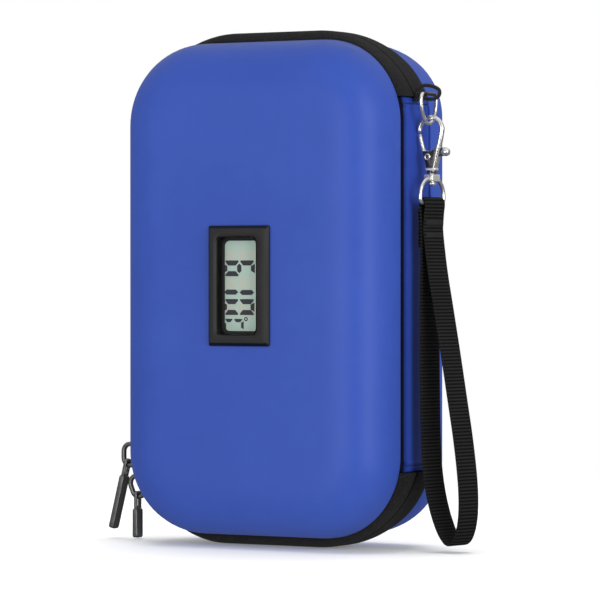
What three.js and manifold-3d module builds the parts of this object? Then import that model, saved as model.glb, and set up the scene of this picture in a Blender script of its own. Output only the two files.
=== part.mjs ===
// Insulin cooling case: two moulded half shells joined by a folding spine, closed by a
// two-slider zip, with a snap-in thermometer in the front and a wrist strap on a lobster clasp.
// Millimetres, +Z up. X runs towards the spine, Y towards the back, Z = 0 is the surface it stands on.

import * as THREE from 'three';
import { mergeVertices } from 'three/addons/utils/BufferGeometryUtils.js';
import Module from 'manifold-3d';

const wasm = await Module();
wasm.setup();

// ---------------------------------------------------------------- driving dimensions
const RIM_W = 122;          // outline of a shell at its rim
const RIM_H = 199;
const RIM_R = 33.5;
const HALF_BAND = 12;       // the rims stand this far either side of Y = 0
const SHELL_D = 23;         // depth of each shell
const FILLET = 18.4;        // big rounding between side wall and face
const WALL = 3.2;
const BAND_OUT = 4.4;       // the zip band bulges this far past the rims
const BAND_R = 41;          // its lower left corner, where the sliders stand
const BAND_CORNERS = [46, 46, BAND_R, 46];   // upper right, upper left, lower left, lower right
const TAPE_T = 1.2;
const PLATEAU = 7;          // flat part of the band, either side of Y = 0
const ZIP_Y = -2;           // the zip's slit
const ZIP_HALF = 0.6;
const GAP = 0.3;
const ZC = BAND_OUT + RIM_H / 2;

const SPINE_Z0 = 31.2;      // ends of the blue spine panel
const SPINE_Z1 = 180.3;
const SPINE_T = 2;

const LINER_GAP = 0.4;
const LINER_T = 3;

const DISPLAY_Z = 105.2;    // centre of the thermometer
const BEZEL_W = 28.6;
const BEZEL_H = 48;
const BEZEL_PROUD = 1.9;
const WINDOW_W = 18.4;
const WINDOW_H = 38.3;
const HOUSING_W = 26.6;
const HOUSING_H = 46;
const HOUSING_D = 14;

const CROWN_WIRE = 1.5;     // zip slider crown
const CROWN_REACH = 13.1;   // past the band
const CROWN_H = 10.4;
const UPPER_SLIDER_Z = 34.8;
const LOWER_SLIDER_DEG = 22.5;

const RING_X = 66.7;        // the ring hangs in this plane
const HOOK_X = 67.65;       // centre of the clasp's hook
const STRAP_X = 68.2;
const STRAP_W = 12.4;
const STRAP_T = 1.2;
const STRAP_TURN = -9.5;    // eye and strap hang turned on the swivel by this many degrees
const CORD_R = 0.75;

// ---------------------------------------------------------------- finishes
const finish = (color, roughness, metalness = 0, extra = {}) =>
  new THREE.MeshStandardMaterial({ color, roughness, metalness, ...extra });
const BLUE = finish(0x4259ab, 0.55);
const BLUE_DARK = finish(0x354a9c, 0.58);
const WEAVE = finish(0x35333a, 0.85);
const COIL = finish(0x1c1b1f, 0.6);
const GUNMETAL = finish(0x434142, 0.38, 0.9);
const NICKEL = finish(0xc9c7c4, 0.2, 1);
const WEBBING = finish(0x252527, 0.8);
const BLACK_PLASTIC = finish(0x393939, 0.45);
const LCD = finish(0xafbeb2, 0.3);
const CLEAR = finish(0xe8eeee, 0.08, 0, { transparent: true, opacity: 0.35 });
const BOARD = finish(0x1f5a38, 0.5);
const RUBBER = finish(0x57575c, 0.7);
const CELL = finish(0xb9bbbd, 0.28, 1);
const BRASS = finish(0xc2a24c, 0.3, 1);
const FOIL = finish(0xc4c7ca, 0.3, 0.6);
const GEL = finish(0x8fc0e2, 0.25);
const MESH = finish(0x26262a, 0.85);
const PANEL = finish(0x2c2c31, 0.85);

// ---------------------------------------------------------------- solid helpers
function solid(geometry) {
  const g = geometry.clone();
  for (const key of Object.keys(g.attributes)) if (key !== 'position') g.deleteAttribute(key);
  const m = mergeVertices(g, 1e-4);
  const body = new wasm.Manifold(new wasm.Mesh({
    numProp: 3,
    vertProperties: new Float32Array(m.attributes.position.array),
    triVerts: new Uint32Array(m.index.array),
  }));
  return body;
}

function geometryOf(body) {
  const m = body.getMesh();
  const g = new THREE.BufferGeometry();
  g.setAttribute('position', new THREE.BufferAttribute(new Float32Array(m.vertProperties), 3));
  g.setIndex(new THREE.BufferAttribute(new Uint32Array(m.triVerts), 1));
  g.computeVertexNormals();
  return g;
}

const V2 = (x, y) => new THREE.Vector2(x, y);

// Rounded rectangle, corners counter-clockwise, seg chords for each corner.
function roundedPoints(w, h, r, seg = 8, cx = 0, cy = 0) {
  const out = [];
  const q = Array.isArray(r) ? r : [r, r, r, r];
  const corners = [[w / 2 - q[0], h / 2 - q[0], 0], [-w / 2 + q[1], h / 2 - q[1], 90], [-w / 2 + q[2], -h / 2 + q[2], 180], [w / 2 - q[3], -h / 2 + q[3], 270]];
  corners.forEach(([x, y, a0], i) => {
    for (let k = 0; k <= seg; k++) {
      const a = THREE.MathUtils.degToRad(a0 + (90 * k) / seg);
      out.push(V2(cx + x + q[i] * Math.cos(a), cy + y + q[i] * Math.sin(a)));
    }
  });
  return out;
}
const roundedShape = (...args) => new THREE.Shape(roundedPoints(...args));

// A shape drawn in X and Z, extruded from y0 to y1.
function slabXZ(shape, y0, y1) {
  const g = new THREE.ExtrudeGeometry(shape, { depth: y1 - y0, bevelEnabled: false, steps: 1 });
  g.rotateX(Math.PI / 2);
  g.translate(0, y1, 0);
  return g;
}
// A shape drawn in Y and Z, extruded from x0 to x1.
function slabYZ(shape, x0, x1) {
  const g = new THREE.ExtrudeGeometry(shape, { depth: x1 - x0, bevelEnabled: false, steps: 1 });
  g.rotateX(Math.PI / 2);
  g.rotateZ(Math.PI / 2);
  g.translate(x0, 0, 0);
  return g;
}
// A shape drawn in X and Y, extruded from z0 to z1.
function slabXY(shape, z0, z1) {
  const g = new THREE.ExtrudeGeometry(shape, { depth: z1 - z0, bevelEnabled: false, steps: 1 });
  g.translate(0, 0, z0);
  return g;
}
function block(x0, x1, y0, y1, z0, z1) {
  const g = new THREE.BoxGeometry(x1 - x0, y1 - y0, z1 - z0);
  g.translate((x0 + x1) / 2, (y0 + y1) / 2, (z0 + z1) / 2);
  return g;
}
function rodY(r, y0, y1, x, z, seg = 14) {
  const g = new THREE.CylinderGeometry(r, r, y1 - y0, seg);
  g.translate(x, (y0 + y1) / 2, z);
  return g;
}
function rodZ(r, z0, z1, x, y, seg = 14) {
  const g = new THREE.CylinderGeometry(r, r, z1 - z0, seg);
  g.rotateX(Math.PI / 2);
  g.translate(x, y, (z0 + z1) / 2);
  return g;
}
const union = (...g) => g.map(solid).reduce((a, b) => a.add(b));
const cut = (body, ...g) => g.map(solid).reduce((a, b) => a.subtract(b), body);

// Polygon of constant or varying half width around a centre line.
function strokeShape(points, half) {
  const n = points.length;
  const left = [], right = [];
  for (let i = 0; i < n; i++) {
    const a = points[Math.max(0, i - 1)], b = points[Math.min(n - 1, i + 1)];
    const t = V2(b.x - a.x, b.y - a.y).normalize();
    const h = typeof half === 'function' ? half(i / (n - 1)) : half;
    left.push(V2(points[i].x - t.y * h, points[i].y + t.x * h));
    right.push(V2(points[i].x + t.y * h, points[i].y - t.x * h));
  }
  return new THREE.Shape([...right, ...left.reverse()]);
}
const smooth = (pts, n) => new THREE.SplineCurve(pts.map(([x, y]) => V2(x, y))).getPoints(n);

// Rounded-box pillow whose middle plane is y; half of it is one shell.
function pillow(w, h, r, straight, fillet, y, seg = 8, bevel = 6) {
  const g = new THREE.ExtrudeGeometry(roundedShape(w, h, r, seg, 0, ZC), {
    depth: 2 * straight, bevelEnabled: true, bevelThickness: fillet, bevelSize: fillet,
    bevelOffset: -fillet, bevelSegments: bevel, steps: 1,
  });
  g.rotateX(Math.PI / 2);
  g.translate(0, y + straight, 0);
  return g;
}

const STRAIGHT = SHELL_D - FILLET;
const BIG = 400;
// Half pan: outer pillow less inner pillow, kept on one side of the rim plane.
function pan(side, inset, wall) {
  const y = side * HALF_BAND;
  const outer = solid(pillow(RIM_W - 2 * inset, RIM_H - 2 * inset, RIM_R - inset, STRAIGHT, FILLET - inset, y));
  const k = inset + wall;
  const inner = solid(pillow(RIM_W - 2 * k, RIM_H - 2 * k, RIM_R - k, STRAIGHT, FILLET - k, y));
  const keep = side > 0 ? block(-BIG, BIG, y, BIG, -BIG, BIG) : block(-BIG, BIG, -BIG, y, -BIG, BIG);
  return outer.intersect(solid(keep)).subtract(inner);
}

// Closed strip swept round the case outline. profile: [y, outset, corner radius] points.
function sweepRing(profile, seg = 8) {
  const rings = profile.map(([y, o, r]) =>
    roundedPoints(RIM_W + 2 * o, RIM_H + 2 * o, r, seg, 0, ZC).map((p) => [p.x, y, p.y]));
  const K = rings.length, J = rings[0].length;
  const pos = new Float32Array(K * J * 3);
  rings.forEach((ring, k) => ring.forEach((p, j) => pos.set(p, (k * J + j) * 3)));
  const idx = [];
  for (let k = 0; k < K; k++) {
    for (let j = 0; j < J; j++) {
      const a = k * J + j, b = k * J + ((j + 1) % J), c = ((k + 1) % K) * J + j, d = ((k + 1) % K) * J + ((j + 1) % J);
      idx.push(a, c, b, b, c, d);
    }
  }
  const build = (index) => {
    const g = new THREE.BufferGeometry();
    g.setAttribute('position', new THREE.BufferAttribute(pos, 3));
    g.setIndex(index);
    return g;
  };
  let g = build(idx);
  if (solid(g).volume() < 0) {
    const flipped = [];
    for (let i = 0; i < idx.length; i += 3) flipped.push(idx[i], idx[i + 2], idx[i + 1]);
    g = build(flipped);
  }
  return g;
}

// ---------------------------------------------------------------- scene graph
const root = new THREE.Group();
const rearHalf = new THREE.Group();
const frontHalf = new THREE.Group();
const spine = new THREE.Group();
const lanyard = new THREE.Group();
const thermometer = new THREE.Group();
thermometer.position.set(0, -(HALF_BAND + SHELL_D), DISPLAY_Z);
frontHalf.add(thermometer);
spine.add(lanyard);
root.add(rearHalf, frontHalf, spine);

function add(group, name, shape, material) {
  const geometry = shape.isBufferGeometry ? shape : geometryOf(shape);
  const mesh = new THREE.Mesh(geometry, material);
  mesh.name = name;
  group.add(mesh);
  return mesh;
}

// ---------------------------------------------------------------- shells and liners
const faceY = HALF_BAND + SHELL_D;
add(rearHalf, 'rear_shell', pan(1, 0, WALL), BLUE);
add(frontHalf, 'front_shell',
  cut(pan(-1, 0, WALL), slabXZ(roundedShape(HOUSING_W + 0.6, HOUSING_H + 0.6, 1, 2, 0, DISPLAY_Z), -faceY - 5, -faceY + 10)), BLUE);
add(rearHalf, 'rear_liner', pan(1, WALL + LINER_GAP, LINER_T), FOIL);
add(frontHalf, 'front_liner',
  cut(pan(-1, WALL + LINER_GAP, LINER_T), slabXZ(roundedShape(HOUSING_W + 1.2, HOUSING_H + 1.2, 1, 2, 0, DISPLAY_Z), -faceY - 5, -faceY + 12)), FOIL);

// ---------------------------------------------------------------- spine panel
add(spine, 'spine_panel', (() => {
  const ring = new THREE.Shape(roundedPoints(RIM_W, RIM_H, RIM_R, 8, 0, ZC));
  ring.holes.push(new THREE.Path(roundedPoints(RIM_W - 2 * SPINE_T, RIM_H - 2 * SPINE_T, RIM_R - SPINE_T, 8, 0, ZC).reverse()));
  return solid(slabXZ(ring, -HALF_BAND + GAP, HALF_BAND - GAP)).intersect(solid(block(30, 80, -20, 20, SPINE_Z0, SPINE_Z1)));
})(), BLUE_DARK);

// ---------------------------------------------------------------- zip band: tapes and coils
const outerR = (o) => BAND_CORNERS.map((r) => RIM_R + (o * (r - RIM_R)) / BAND_OUT);
const innerR = (o) => outerR(o + TAPE_T).map((r) => r - TAPE_T);
const spineCut = block(30, 90, -20, 20, SPINE_Z0 - GAP, SPINE_Z1 + GAP);
function tape(side, edge) {
  const e = HALF_BAND - GAP;
  const outer = [[side * e, 0.1], [side * 10.6, 1.9], [side * 9, 3.4], [side * PLATEAU, BAND_OUT], [edge, BAND_OUT]];
  const inner = [[edge, BAND_OUT - TAPE_T], [side * 6.6, BAND_OUT - TAPE_T], [side * 8.2, 2.4], [side * 9.6, 1.1], [side * 10.7, -0.7]];
  const profile = [...outer.map(([y, o]) => [y, o, outerR(o)]), ...inner.map(([y, o]) => [y, o, innerR(o)])];
  return cut(solid(sweepRing(profile)), spineCut);
}
add(frontHalf, 'front_zip_tape', tape(-1, ZIP_Y - ZIP_HALF), WEAVE);
add(rearHalf, 'rear_zip_tape', tape(1, ZIP_Y + ZIP_HALF), WEAVE);
function coil(y0, y1) {
  const o0 = 1.9, o1 = 2.9;
  const r = (o) => BAND_CORNERS.map((c) => c - (BAND_OUT - o));
  return cut(solid(sweepRing([[y0, o0, r(o0)], [y0, o1, r(o1)], [y1, o1, r(o1)], [y1, o0, r(o0)]])), spineCut);
}
add(frontHalf, 'front_zip_coil', coil(ZIP_Y - ZIP_HALF - 1.8, ZIP_Y - ZIP_HALF), COIL);
add(rearHalf, 'rear_zip_coil', coil(ZIP_Y + ZIP_HALF, ZIP_Y + ZIP_HALF + 1.8), COIL);

// ---------------------------------------------------------------- zip sliders and pulls
const ARC_X = -(RIM_W / 2 + BAND_OUT - BAND_R);   // centre of the band's lower left corner
const ARC_Z = BAND_R;
// Crown drawn outwards along -X from the band at x = -BAND_R, centred on z = 0.
function crown(zc) {
  const x0 = -BAND_R - CROWN_REACH, x1 = -BAND_R - GAP - 1;
  const w = x1 - x0, h = CROWN_H;
  const outer = roundedShape(w + 6, h, 3, 4, (x0 + x1 + 6) / 2, zc);
  outer.holes.push(new THREE.Path(roundedPoints(w + 6 - 2 * CROWN_WIRE, h - 2 * CROWN_WIRE, 1.6, 4, (x0 + x1 + 6) / 2, zc).reverse()));
  return solid(slabXZ(outer, ZIP_Y - 0.7, ZIP_Y + 0.7)).intersect(solid(block(x0 - 1, x1, -20, 20, zc - 20, zc + 20)));
}
// Annular sector between two radii, angles in degrees from -X turning down.
function sector(r0, r1, a0, a1, n = 5) {
  const pts = [];
  const at = (r, a) => V2(-r * Math.cos(THREE.MathUtils.degToRad(a)), -r * Math.sin(THREE.MathUtils.degToRad(a)));
  for (let k = 0; k <= n; k++) pts.push(at(r1, a0 + ((a1 - a0) * k) / n));
  for (let k = n; k >= 0; k--) pts.push(at(r0, a0 + ((a1 - a0) * k) / n));
  return new THREE.Shape(pts);
}
const PLATE_W = 5, PLATE_T = 2, POST = 0.3;
const upperSlider = new THREE.Group();
upperSlider.position.set(ARC_X, 0, UPPER_SLIDER_Z);
const lowerSlider = new THREE.Group();
lowerSlider.position.set(ARC_X, 0, ARC_Z);
lowerSlider.rotation.y = -THREE.MathUtils.degToRad(LOWER_SLIDER_DEG);
rearHalf.add(upperSlider, lowerSlider);

const OUT0 = BAND_R + GAP, OUT1 = OUT0 + PLATE_T;
const IN1 = BAND_R - BAND_OUT + 1.3, IN0 = IN1 - 1.3;
add(upperSlider, 'upper_zip_slider', (() => {
  let b = union(
    slabYZ(roundedShape(2 * PLATE_W, 11, 2, 3, ZIP_Y, 1.1), -OUT1, -OUT0),
    slabYZ(roundedShape(2 * PLATE_W, 4.6, 1, 2, ZIP_Y, 4.3), -IN1, -IN0),
    block(-OUT0 - 0.2, -IN1 + 0.2, ZIP_Y - POST, ZIP_Y + POST, 3, 6));
  return b.add(crown(0));
})(), GUNMETAL);
add(lowerSlider, 'lower_zip_slider', (() => {
  const b = union(
    slabXZ(sector(OUT0, OUT1, -6.4, 6.4), ZIP_Y - PLATE_W, ZIP_Y + PLATE_W),
    slabXZ(sector(IN0, IN1, -4.5, 4.5), ZIP_Y - PLATE_W, ZIP_Y + PLATE_W),
    slabXZ(sector(IN1 - 0.2, OUT0 + 0.2, -3, 3), ZIP_Y - POST, ZIP_Y + POST));
  return b.add(crown(0));
})(), GUNMETAL);

// Pull: flat eye and bar hanging along -Z from its hinge line at the origin.
function pull(length) {
  const eye = roundedShape(3.8, 8.2, 0.9, 3, 0, -3.4);
  eye.holes.push(new THREE.Path(roundedPoints(2, 5.2, 0.4, 2, 0, -3.2).reverse()));
  const bar = roundedShape(4.4, length - 6.6, 1.1, 3, 0, -6.6 - (length - 6.6) / 2);
  return union(slabYZ(eye, -0.7, 0.7), slabYZ(bar, -0.95, 0.95));
}
const CROWN_IN_X = -BAND_R - CROWN_REACH + CROWN_WIRE + 1.25;   // hinge line inside a crown
const CROWN_IN_Z = -CROWN_H / 2 + CROWN_WIRE + 1.25;
const upperPull = new THREE.Group();
upperPull.position.set(ARC_X + CROWN_IN_X, ZIP_Y, UPPER_SLIDER_Z + CROWN_IN_Z);
upperPull.rotation.y = THREE.MathUtils.degToRad(14.5);
const lowerPull = new THREE.Group();
const turn = -THREE.MathUtils.degToRad(LOWER_SLIDER_DEG);
lowerPull.position.set(
  ARC_X + CROWN_IN_X * Math.cos(turn) + CROWN_IN_Z * Math.sin(turn), ZIP_Y,
  ARC_Z - CROWN_IN_X * Math.sin(turn) + CROWN_IN_Z * Math.cos(turn));
rearHalf.add(upperPull, lowerPull);
add(upperPull, 'upper_zip_pull', pull(29.2), GUNMETAL);
add(lowerPull, 'lower_zip_pull', pull(lowerPull.position.z - 0.5), GUNMETAL);

// ---------------------------------------------------------------- thermometer module
// In this group y = 0 is the shell's outer face and +Y goes into the case.
add(thermometer, 'display_bezel', (() => {
  const g = new THREE.ExtrudeGeometry(roundedShape(BEZEL_W, BEZEL_H, 1.6, 2), {
    depth: 2 * (BEZEL_PROUD - GAP - 1.2), bevelEnabled: true, bevelThickness: 1.2, bevelSize: 1.2, bevelOffset: -1.2, bevelSegments: 1, steps: 1,
  });
  g.rotateX(Math.PI / 2);
  g.translate(0, -GAP + (BEZEL_PROUD - GAP - 1.2), 0);
  const frame = solid(g).intersect(solid(block(-30, 30, -10, -GAP, -40, 40)));
  const collar = slabXZ(roundedShape(WINDOW_W + 2.4, WINDOW_H + 2.4, 3.4, 4), -GAP - 0.2, 0.6);
  return cut(frame.add(solid(collar)), slabXZ(roundedShape(WINDOW_W, WINDOW_H, 3, 4), -10, 10));
})(), BLACK_PLASTIC);
add(thermometer, 'display_housing', (() => {
  const outer = solid(slabXZ(roundedShape(HOUSING_W, HOUSING_H, 0.8, 2), 0, HOUSING_D));
  return cut(outer,
    slabXZ(roundedShape(HOUSING_W - 3, HOUSING_H - 3, 0.6, 2), -1, 7.6),
    slabXZ(roundedShape(13.4, 38, 1, 2, 0, 0), 7, HOUSING_D - 0.4 - 0.8),
    block(-5.8, 5.8, 8, HOUSING_D + 1, -14, 14));
})(), BLACK_PLASTIC);
add(thermometer, 'display_lens', slabXZ(roundedShape(22.8, 42.2, 0.8, 2), 0.9, 1.7), CLEAR);
add(thermometer, 'lcd_panel', slabXZ(roundedShape(22.4, 41.8, 0.5, 2), 2, 3.8), LCD);
add(thermometer, 'zebra_strip_left', block(-11, -9, 4.1, 6, -17, 17), RUBBER);
add(thermometer, 'zebra_strip_right', block(9, 11, 4.1, 6, -17, 17), RUBBER);
add(thermometer, 'circuit_board', slabXZ(roundedShape(22.8, 42.2, 0.8, 2), 6.3, 7.3), BOARD);
for (const [name, z] of [['battery_a', -6.2], ['battery_b', 6.2]]) {
  const g = new THREE.CylinderGeometry(5.7, 5.7, 4.4, 20);
  g.translate(0, 10.5, z);
  add(thermometer, name, g, CELL);
}
add(thermometer, 'battery_contact', block(-2, 2, 7.65, 7.95, -13, 13), BRASS);
add(thermometer, 'battery_door', (() => {
  const plate = slabXZ(roundedShape(15, 31, 1.2, 3), HOUSING_D + GAP, HOUSING_D + GAP + 1.1);
  const ribs = [-12, -10.6, -9.2].map((z) => block(-4, 4, HOUSING_D + GAP + 1, HOUSING_D + GAP + 1.5, z - 0.35, z + 0.35));
  return union(plate, ...ribs);
})(), BLACK_PLASTIC);
add(thermometer, 'temperature_sensor', (() => {
  const r = 2.1;
  const profile = [V2(0, 0), V2(r, 0), V2(r, 2.2)];
  for (let k = 1; k < 4; k++) profile.push(V2(r * Math.cos((k * Math.PI) / 8), 2.2 + r * 0.6 * Math.sin((k * Math.PI) / 8)));
  profile.push(V2(0, 2.2 + r * 0.6));
  const g = new THREE.LatheGeometry(profile, 14);
  g.translate(0, HOUSING_D + GAP, -19.6);
  return g;
})(), CELL);

// ---------------------------------------------------------------- cooling packs, pocket and pen holders
function gelPack(w, h, y0, y1, zc) {
  const t = (y1 - y0) / 2;
  const g = new THREE.ExtrudeGeometry(roundedShape(w, h, 12, 4, 0, zc), {
    depth: 0.4, bevelEnabled: true, bevelThickness: t - 0.2, bevelSize: 8, bevelOffset: -8, bevelSegments: 3, steps: 1,
  });
  g.rotateX(Math.PI / 2);
  g.translate(0, (y0 + y1) / 2 + 0.2, 0);
  return g;
}
add(frontHalf, 'gel_pack_front', gelPack(88, 58, -27, -16.4, 50), GEL);
add(rearHalf, 'gel_pack_rear', gelPack(92, 72, 18.8, 27.4, 104), GEL);
add(frontHalf, 'mesh_pocket', (() => {
  const w = 105, z0 = 12, z1 = 80, r = 25;
  const pts = roundedPoints(w, 2 * (z1 - z0), r, 6, 0, z1).filter((p) => p.y < z1);
  return slabXZ(new THREE.Shape([V2(w / 2, z1), V2(-w / 2, z1), ...pts]), -15.2, -14.2);
})(), MESH);
add(rearHalf, 'pen_panel', slabXZ(roundedShape(104, 180, 24, 6, 0, ZC), 17.2, 18.4), PANEL);
function penBand(z0, z1) {
  const pts = [];
  const bumps = [-32, 0, 32], half = 12, rise = 11;
  pts.push([-49, 0]);
  for (const c of bumps) {
    for (let k = 0; k <= 12; k++) {
      const a = Math.PI - (Math.PI * k) / 12;
      pts.push([c + half * Math.cos(a), rise * Math.sin(a)]);
    }
  }
  pts.push([49, 0]);
  return slabXY(strokeShape(pts.map(([x, h]) => V2(x, 16.35 - h)), 0.5), z0, z1);
}
add(rearHalf, 'pen_band_lower', penBand(56, 74), WEAVE);
add(rearHalf, 'pen_band_upper', penBand(134, 152), WEAVE);

// ---------------------------------------------------------------- cord loop, ring, clasp and wrist strap
add(lanyard, 'cord_loop', (() => {
  const path = new THREE.CatmullRomCurve3([
    [60.2, -1.2, 178.9], [61.9, -1.2, 179.6], [62.3, -1.3, 181.2], [63.4, -1.1, 181.6], [64.9, -0.9, 179.9], [66.9, -0.8, 179.3],
    [69.3, -0.4, 179.3], [71, 0, 180.2], [71.6, 0.2, 181.6], [71, 0.5, 183], [69.2, 0.8, 184], [66.6, 0.9, 184.7],
    [64.2, 0.8, 184.8], [62.7, 0.6, 184.2], [62.1, 0.5, 182.8], [62.2, 0.5, 181.2], [61.9, 0.5, 179.6], [60.2, 0.5, 178.9],
  ].map((p) => new THREE.Vector3(...p)));
  const section = new THREE.Shape(Array.from({ length: 8 }, (_, k) => V2(CORD_R * Math.cos((k * Math.PI) / 4), CORD_R * Math.sin((k * Math.PI) / 4))));
  return new THREE.ExtrudeGeometry(section, { steps: 40, extrudePath: path, bevelEnabled: false });
})(), WEBBING);

// Ring: straight bar on top, round bottom, in the YZ plane.
function dPoints(halfW, top, bottom, r) {
  const pts = [V2(halfW, top - r)];
  for (let k = 1; k <= 3; k++) { const a = (k * Math.PI) / 6; pts.push(V2(halfW - r + r * Math.cos(a), top - r + r * Math.sin(a))); }
  for (let k = 0; k <= 2; k++) { const a = Math.PI / 2 + (k * Math.PI) / 6; pts.push(V2(-halfW + r + r * Math.cos(a), top - r + r * Math.sin(a))); }
  pts.push(V2(-halfW, top - r));
  const drop = top - r - bottom;
  for (let k = 1; k < 14; k++) { const a = Math.PI + (k * Math.PI) / 14; pts.push(V2(halfW * Math.cos(a), top - r + drop * Math.sin(a))); }
  return pts;
}
add(lanyard, 'd_ring', (() => {
  const s = new THREE.Shape(dPoints(6.8, 182.1, 168.8, 2));
  s.holes.push(new THREE.Path(dPoints(5.3, 180.6, 170.3, 1).reverse()));
  return slabYZ(s, RING_X - 0.75, RING_X + 0.75);
})(), NICKEL);

// Turns a piece about the swivel's upright axis.
function swung(shape) {
  const g = shape.isBufferGeometry ? shape : geometryOf(shape);
  g.translate(-STRAP_X, 0, 0);
  g.rotateZ(THREE.MathUtils.degToRad(STRAP_TURN));
  g.translate(STRAP_X, 0, 0);
  return g;
}

const RIVET_X = 67.4, RIVET_Z = 156.3;
add(lanyard, 'clasp_body', (() => {
  const line = [[70.2, 156], [71.1, 160], [72.2, 164]];
  const c = [HOOK_X, 166.9], r = 5.1;
  for (let k = 0; k <= 12; k++) {
    const a = THREE.MathUtils.degToRad(0 + (190 * k) / 12);
    line.push([c[0] + r * Math.cos(a), c[1] + r * Math.sin(a)]);
  }
  const hook = slabXZ(strokeShape(line.map(([x, z]) => V2(x, z)), 1), -1.1, 1.1);
  const cheek = new THREE.Shape([V2(66.4, 151.3), V2(69.9, 151.3), V2(71, 156), V2(72.2, 162), V2(70.3, 162), V2(69.4, 158.9), V2(64.6, 158.7), V2(65.6, 156)]);
  const body = union(hook, slabXZ(cheek, -1.7, 1.7));
  const slot = block(60, 76, -0.8, 0.8, 153, 161.2);
  const hole = rodY(1.25, -5, 5, RIVET_X, RIVET_Z, 12);
  return cut(body, slot, hole).add(union(rodZ(1.1, 145, 151.5, STRAP_X, 0, 12), rodZ(1.8, 144.8, 146.2, STRAP_X, 0, 12)));
})(), NICKEL);
add(lanyard, 'clasp_gate', (() => {
  const lug = slabXZ(new THREE.Shape(Array.from({ length: 12 }, (_, k) => V2(RIVET_X + 1.9 * Math.cos((k * Math.PI) / 6), RIVET_Z + 1.9 * Math.sin((k * Math.PI) / 6)))), -0.5, 0.5);
  const arm = slabXZ(strokeShape([V2(66.4, 157.3), V2(64.2, 159.6), V2(62.55, 165.3)], 0.8), -0.5, 0.5);
  const thumb = slabXZ(strokeShape([V2(68.2, 156.9), V2(70.6, 158), V2(73.2, 158.3), V2(75.9, 158.2)], 1.3), -0.5, 0.5);
  const pad = slabXZ(roundedShape(3.4, 3, 0.8, 3, 74.3, 158.25), -1.5, 1.5);
  return cut(union(lug, arm, thumb, pad), rodY(1.25, -5, 5, RIVET_X, RIVET_Z, 12));
})(), NICKEL);
add(lanyard, 'clasp_rivet', union(rodY(0.9, -2.2, 2.2, RIVET_X, RIVET_Z, 12), rodY(1.45, -2.6, -2.05, RIVET_X, RIVET_Z, 12), rodY(1.45, 2.05, 2.6, RIVET_X, RIVET_Z, 12)), NICKEL);
add(lanyard, 'clasp_spring', block(66.4, 69.6, -0.4, 0.4, 153.35, 154.1), CELL);
add(lanyard, 'swivel_eye', (() => {
  const outline = [], inner = [];
  const prof = [[2.6, 149.3], [3.4, 148.2], [6.2, 146], [7.8, 143.2], [8.1, 140.5], [7.9, 138.3], [7.2, 137.4]];
  const profIn = [[2.4, 146.7], [4.8, 145.4], [6.2, 142.9], [6.5, 140.5], [6.5, 139]];
  for (const [y, z] of prof) outline.push(V2(y, z));
  for (const [y, z] of [...prof].reverse()) outline.push(V2(-y, z));
  for (const [y, z] of profIn) inner.push(V2(y, z));
  for (const [y, z] of [...profIn].reverse()) inner.push(V2(-y, z));
  const s = new THREE.Shape(outline);
  s.holes.push(new THREE.Path(inner.reverse()));
  const ringD = slabYZ(s, STRAP_X - 0.8, STRAP_X + 0.8);
  const collar = block(STRAP_X - 1.9, STRAP_X + 1.9, -2.5, 2.5, 146.6, 149.4);
  return swung(cut(union(ringD, collar), rodZ(1.45, 139.5, 160, STRAP_X, 0, 12)));
})(), NICKEL);

add(lanyard, 'wrist_strap', (() => {
  const loop = smooth([
    [67.5, 126], [67.26, 112], [67.1, 92], [67.16, 70], [67.56, 48], [68.6, 32], [71.2, 19.5], [75, 9.6], [78.6, 4.4], [81.4, 3.4],
    [84.2, 6], [86.2, 12.5], [86.7, 21], [86, 31], [84, 45], [81.2, 60], [77.8, 78], [74.2, 96], [71, 112], [69, 126],
  ], 64);
  const body = solid(slabXZ(strokeShape(loop, STRAP_T / 2), -STRAP_W / 2, STRAP_W / 2));
  const fold = new THREE.Shape([V2(66.8, 124.6), V2(69.6, 124.6), V2(69.7, 135), V2(70.2, 137.6), V2(70.1, 139.4), V2(69.2, 140.5), V2(67.2, 140.5), V2(66.3, 139.4), V2(66.2, 137.6), V2(66.7, 135)]);
  const head = slabXZ(fold, -STRAP_W / 2, STRAP_W / 2);
  const eye = block(STRAP_X - 1.25, STRAP_X + 1.25, -20, 20, 136.9, 139.5);
  return swung(cut(body.add(solid(head)), eye));
})(), WEBBING);

export default root;
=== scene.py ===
import math

import bmesh
import bpy
import numpy as np
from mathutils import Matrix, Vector


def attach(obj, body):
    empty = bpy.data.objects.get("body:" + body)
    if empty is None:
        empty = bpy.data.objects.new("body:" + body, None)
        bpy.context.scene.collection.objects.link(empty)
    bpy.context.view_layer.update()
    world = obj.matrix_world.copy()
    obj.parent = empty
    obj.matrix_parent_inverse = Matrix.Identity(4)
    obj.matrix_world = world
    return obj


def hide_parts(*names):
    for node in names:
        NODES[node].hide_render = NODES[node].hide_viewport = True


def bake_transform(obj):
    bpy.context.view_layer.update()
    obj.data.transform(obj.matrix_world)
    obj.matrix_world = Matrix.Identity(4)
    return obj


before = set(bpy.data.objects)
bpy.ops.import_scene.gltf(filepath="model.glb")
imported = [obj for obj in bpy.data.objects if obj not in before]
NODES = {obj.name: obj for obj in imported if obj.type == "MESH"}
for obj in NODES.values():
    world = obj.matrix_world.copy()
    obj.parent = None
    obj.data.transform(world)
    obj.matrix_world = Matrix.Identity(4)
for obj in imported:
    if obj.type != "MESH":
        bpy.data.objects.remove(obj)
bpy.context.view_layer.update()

scene = bpy.context.scene
scene.view_settings.view_transform = "Standard"
scene.view_settings.look = "None"
MM = 0.001

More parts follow.
